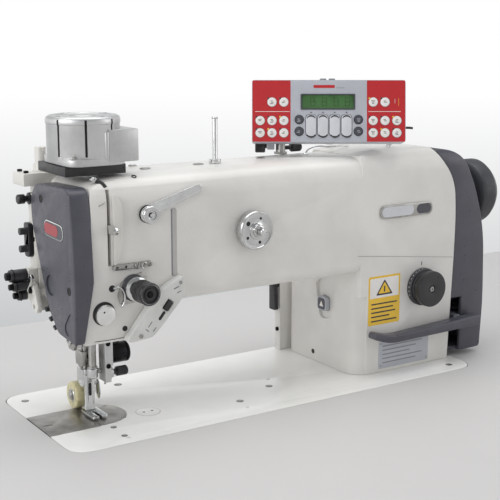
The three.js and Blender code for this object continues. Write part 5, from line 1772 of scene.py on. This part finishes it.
# %% Column's left face
left_x = COLUMN_LEFT / MM
fit_to(sunk_hole("column_hole", at(left_x, 29.7, 10.1), -X, 2.8), "root", "black_plastic")
button_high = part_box("column_button")[0].x / MM
button_field = plate(
    "column_button_field",
    [(-17.0, 63.0), (-4.4, 63.0), (-4.4, 75.6), (-17.0, 75.6)],
    Vector((button_high * MM - 0.03 * MM, 0, BED)), -Y, Z, 0.12, FOIL_DARK, 3.4, 0,
)
fit_to(button_field, "column_button", "black_plastic")
button_arrow = plate(
    "column_button_sign", [(-14.2, 66.2), (-7.2, 66.2), (-10.7, 72.6)],
    Vector((button_high * MM - 0.17 * MM, 0, BED)), -Y, Z, 0.08, FOIL_WHITE, 0.6, 0,
)
fit_to(button_arrow, "column_button", "silver_foil")
for i, z in enumerate((24, 88)):
    fit_to(
        socket_screw(f"column_bracket_screw_{i + 1}", at(left_x - 9, 86.5, z), -X, 2.4, BLUED, 1.6),
        "root", "black_plastic"
    )
print("column left face in mm:", round(left_x, 1))

# %% [markdown]
# ## The bed's face
#
# Screws, plugged holes and the two small screws of the needle plate break up the bed's plain top. Each
# hole in the casting gets a screw of its own.

# %% Bed screws and plug
for i, (x, y, radius_mm) in enumerate(
    (
        (138.8, -42.2, 3.0), (188.9, -19.4, 3.0), (0.3, -64.4, 2.2), (1.7, -39.2, 2.2), (330, 70, 3.4),
        (60, 70, 3.4), (-40, 74, 3.0), (396, -66, 3.0)
    )
):
    seat = at(x, y, 0.0)
    # A near-black ring round each screw is painted shade in the gap round its head.
    fit_to(
        turned(
            f"bed_screw_shade_ring_{i + 1}", seat, Z,
            [(-0.3, radius_mm + 0.7), (0.07, radius_mm + 0.7), (0.1, radius_mm)], SHADE_AND_SEAM_BLACK, 28, 0
        ),
        "root", "black_plastic"
    )
    fit_to(slotted_screw(f"bed_screw_{i + 1}", seat, Z, radius_mm, STEEL, 0.5 + i, 0.35), "root", "steel")
plug = turned(
    "bed_plug", at(48, -19.4, 0), Z, [(-0.6, 11.5), (0.12, 11.5), (0.3, 11.2), (0.3, 2)], BED_ENAMEL, 64,
    0
)
fit_to(plug, "root", "light_paint")
plug_groove = turned(
    "bed_plug_groove", at(48, -19.4, 0), Z, [(-0.3, 12.1), (0.06, 12.1), (0.08, 11.0)], SEAM_GREY, 64, 0
)
fit_to(plug_groove, "root", "light_paint")
for i, x in enumerate((43.6, 52.4)):
    fit_to(sunk_hole(f"bed_plug_hole_{i + 1}", at(x, -19.4, 0.3), Z, 1.3), "root", "black_plastic")
for i, (x, y) in enumerate(((20, -19), (20, 19), (-2.4, -25.6), (-2.4, 25.6))):
    fit_to(
        slotted_screw(f"needle_plate_screw_{i + 1}", at(x, y, -0.1), Z, 2.4, STEEL, 0.7 + i, 0.35),
        "root", "steel"
    )
for i, x in enumerate((-4.3, 4.3)):
    fit_to(
        block(f"feed_slot_shade_{i + 1}", at(x, 0, -3.4), (2.4, 26, 0.4), SHADE_AND_SEAM_BLACK, 0), "root",
        "black_plastic"
    )
print("bed pieces done")

# %% [markdown]
# ## Behind the head
#
# The lifting unit is an enamelled bracket with a cylinder, black hose fittings and a link that lifts the
# foot. Its bright link and white lever are plates; the rest is turned.

# %% Lifting unit
for i, (x, y) in enumerate(((-38, 52), (-38, 68), (0, 52), (0, 68))):
    fit_to(
        socket_screw(f"lift_screw_head_{i + 1}", at(x, y, 230), Z, 2.4, BLUED, 2.0), "root",
        "black_plastic"
    )
collar = turned(
    "lift_collar", at(-20, 60, 230), Z, [(0, 8.6), (1.2, 8.6), (1.4, 7.6), (6.6, 7.4)], BRACKET_ENAMEL,
    48, 0.2
)
fit_to(collar, "lift_screw", "light_paint")
lift_cylinder = turned(
    "lift_cylinder", at(-25, 57, 138), Z,
    [(0, 6), (0, 9.4), (26, 9.4), (26.4, 8.6), (30, 8.6), (30.4, 9.4), (72, 9.4), (72, 5)],
    BRACKET_ENAMEL, 48, 0.4
)
fit_to(lift_cylinder, "root", "light_paint")
link_left = plate(
    "lift_link", [(-66, 131), (-61.5, 135), (-50, 123.6), (-39.5, 136.4), (-35.4, 132.6), (-49.5, 116.5)],
    Vector((-40.4 * MM, 0, BED)), -Y, Z, 3, CHROME, 1.6, 0.3,
)
fit_to(link_left, "root", "chrome")
lever_points = [(-53, 127), (-41, 123.5), (-32, 104.5), (-36.5, 97), (-47.5, 101.5), (-53, 113)]
white_lever = plate(
    "lift_lever", lever_points, Vector((-34.5 * MM, 0, BED)), -Y, Z, 5, BRACKET_ENAMEL, 3.4, 0.5
)
carve(
    white_lever, turned("lever_hole_tool", at(-30, 41.6, 103.4), -X, [(0, 2.3), (16, 2.3)], SHADE_AND_SEAM_BLACK, 24, 0)
)
fit_to(white_lever, "root", "light_paint")
lever_pin = socket_screw("lift_lever_pin", at(-39.4, 47, 118), -X, 2.6, BLUED, 2.2)
fit_to(lever_pin, "root", "black_plastic")
fittings = []
for k, (y, z, radius_mm, reach) in enumerate(((57, 32, 6, 57), (54, 22, 4.6, 55), (59, 12, 5, 49))):
    seat = at(-reach, y, z + 100)
    fittings.append(ring(f"fitting_ring_{k}", seat - X * -3 * MM, X, radius_mm + 0.1, 1.0, BLUED, 32, 8))
    fittings.append(
        turned(
            f"fitting_nose_{k}", seat + X * 0.6 * MM, -X,
            [(0, radius_mm * 0.7), (4.5, radius_mm * 0.62), (4.8, radius_mm * 0.4)], BLUED, 32, 0.2
        )
    )
fit_to(join("fitting_noses", fittings), "root", "black_plastic")
bracket_knob = turned(
    "bracket_knob", at(-29.6, 57, 205), -X,
    [
        (0, 5.6), (5.4, 5.6), (5.8, 3.0), (9.4, 3.0), (9.6, 4.6), (15.6, 4.6), (16.4, 3.8), (16.4, 1.2)
    ], KNOB, 36, 0.2,
)
fit_to(bracket_knob, "root", "black_plastic")
nipples = []
for k, (y, z, tilt) in enumerate(((27, 104, 0.1), (20, 98, 0.4), (12, 91.5, 0.4))):
    nipples.append(
        turned(
            f"nipple_{k}", at(-25 + k * 0.5, y, z), (-X - Z * tilt).normalized(),
            [(-6, 3.4), (5, 3.4), (5.4, 2.6), (9, 2.4)], KNOB, 24, 0.2
        )
    )
fit_to(join("head_nipples", nipples), "root", "black_plastic")
print("lifting unit done")

# %% [markdown]
# ## Under the head
#
# The presser bar's clamp, the guide plate with its boss, the finger guard and the shank's slot.

# %% Clamps and guards
guide_plate = plate(
    "bar_guide_plate", [(-32, 83.6), (-8, 83.6), (-8, 74), (-14, 62), (-25, 62), (-32, 72)],
    Vector((-9.6 * MM, 0, BED)), -Y, Z, 3, STEEL, 3, 0.3,
)
fit_to(guide_plate, "root", "steel")
boss = turned(
    "bar_guide_boss", at(-12.6, 22, 71.4), -X, [(0, 5.2), (1.6, 5.2), (2.0, 4.4), (2.0, 2.4), (0.6, 2.2)],
    CHROME, 40, 0.1
)
fit_to(boss, "root", "chrome")
clamp_block = block("presser_clamp", at(0, 15, 56.5), (15, 15.4, 11), STEEL, 0.9)
fit_to(clamp_block, "presser_unit", "steel")
fit_to(
    socket_screw("presser_clamp_screw", at(0, 7.3, 56.5), -Y, 2.4, BLUED, 1.8), "presser_unit",
    "black_plastic"
)
needle_clamp = turned(
    "needle_clamp", at(0, 0, 37.4), Z, [(0, 4.4), (0.8, 5.2), (9.2, 5.2), (10, 4.4)], CHROME, 40, 0.1
)
fit_to(needle_clamp, "needle_unit", "chrome")
guard = plate(
    "finger_guard", [(-16, 24), (-10.2, 33), (-5.2, 29), (-3.4, 20), (-6, 13), (-11, 14), (-14.6, 19)],
    Vector((9.4 * MM, 0, BED)), -Y, Z, 1.0, CHROME, 2.0, 0.2,
)
fit_to(guard, "root", "chrome")
guard_stalk = wire(
    "finger_guard_stalk", [at(9.6, -6, 31), at(10.6, -6, 36), at(11.4, -6, 44)], 2.0, STEEL
)
fit_to(guard_stalk, "root", "steel")
# The shank's slot is a near-black plate: painted shade.
shank_slot = on_front("shank_slot", stadium((0, 24), 13, 3.0, math.pi / 2), 0.12, SHADE_AND_SEAM_BLACK, 0, 0, 6.95)
fit_to(shank_slot, "presser_unit", "black_plastic")
for i, (x, y, z) in enumerate(((0, 7.9, 33), (0, 7.9, 41))):
    fit_to(
        slotted_screw(f"foot_screw_{i + 1}", at(x, y - 0.9, z), -Y, 2.0, STEEL, 0.4 + i, 1.2),
        "presser_unit", "steel"
    )
bracket_screws = [
    slotted_screw(f"bracket_screw_{k}", at(11, -12, z), -Y, 2.4, BLUED, 0.5 + k, 1.2)
    for k, z in enumerate((50, 72))
]
fit_to(join("bar_bracket_screws", bracket_screws), "root", "black_plastic")
solenoid_lug = block("solenoid_lug", at(27, 8, 67.4), (8, 6, 5), KNOB, 0.6)
fit_to(solenoid_lug, "root", "black_plastic")
print("guide boss faces:", len(boss.data.polygons))

# %% [markdown]
# ## The back and the ends
#
# Nobody sees the back when sewing, but it carries the covers' screws and the cooling slots of the drive,
# as any such arm does.

# %% Back of arm, column and end cover
back_y = ARM_BACK / MM
back_cover = plate(
    "arm_back_cover", [(-200, 128), (-70, 128), (-70, 208), (-200, 208)],
    Vector((0, ARM_BACK - 0.02 * MM, BED)), -X, Z, 1.6, ENAMEL, 6, 0.4,
)
fit_to(back_cover, "root", "light_paint")
for i, (x, z) in enumerate(((76, 134), (194, 134), (76, 202), (194, 202), (135, 134), (135, 202))):
    fit_to(
        slotted_screw(f"back_cover_screw_{i + 1}", at(x, back_y + 1.55, z), Y, 3.0, STEEL, 0.5 + i, 1.2),
        "root", "steel"
    )
# The cooling slots are near-black plates on the column's back: painted shade.
slots = []
for k in range(7):
    points = [(-(318 + 9 * k), 30), (-(322 + 9 * k), 30), (-(322 + 9 * k), 84), (-(318 + 9 * k), 84)]
    points.reverse()
    slots.append(
        plate(
            f"column_vent_{k}", points, Vector((0, 78 * MM - 0.02 * MM, BED)), -X, Z, 0.14, SHADE_AND_SEAM_BLACK, 1.8, 0
        )
    )
fit_to(join("column_vents", slots), "root", "black_plastic")
for i, (x, z) in enumerate(((306, 12), (398, 12), (306, 100), (398, 100))):
    fit_to(
        slotted_screw(f"column_back_screw_{i + 1}", at(x, 78, z), Y, 3.0, STEEL, 0.9 + i, 1.2), "root",
        "steel"
    )
for i, (x, z) in enumerate(((426, 20), (452, 20), (424, 160), (424, 205))):
    fit_to(
        socket_screw(f"end_cover_screw_{i + 1}", at(x, back_y, z), Y, 2.6, BLUED, 1.2), "root",
        "black_plastic"
    )
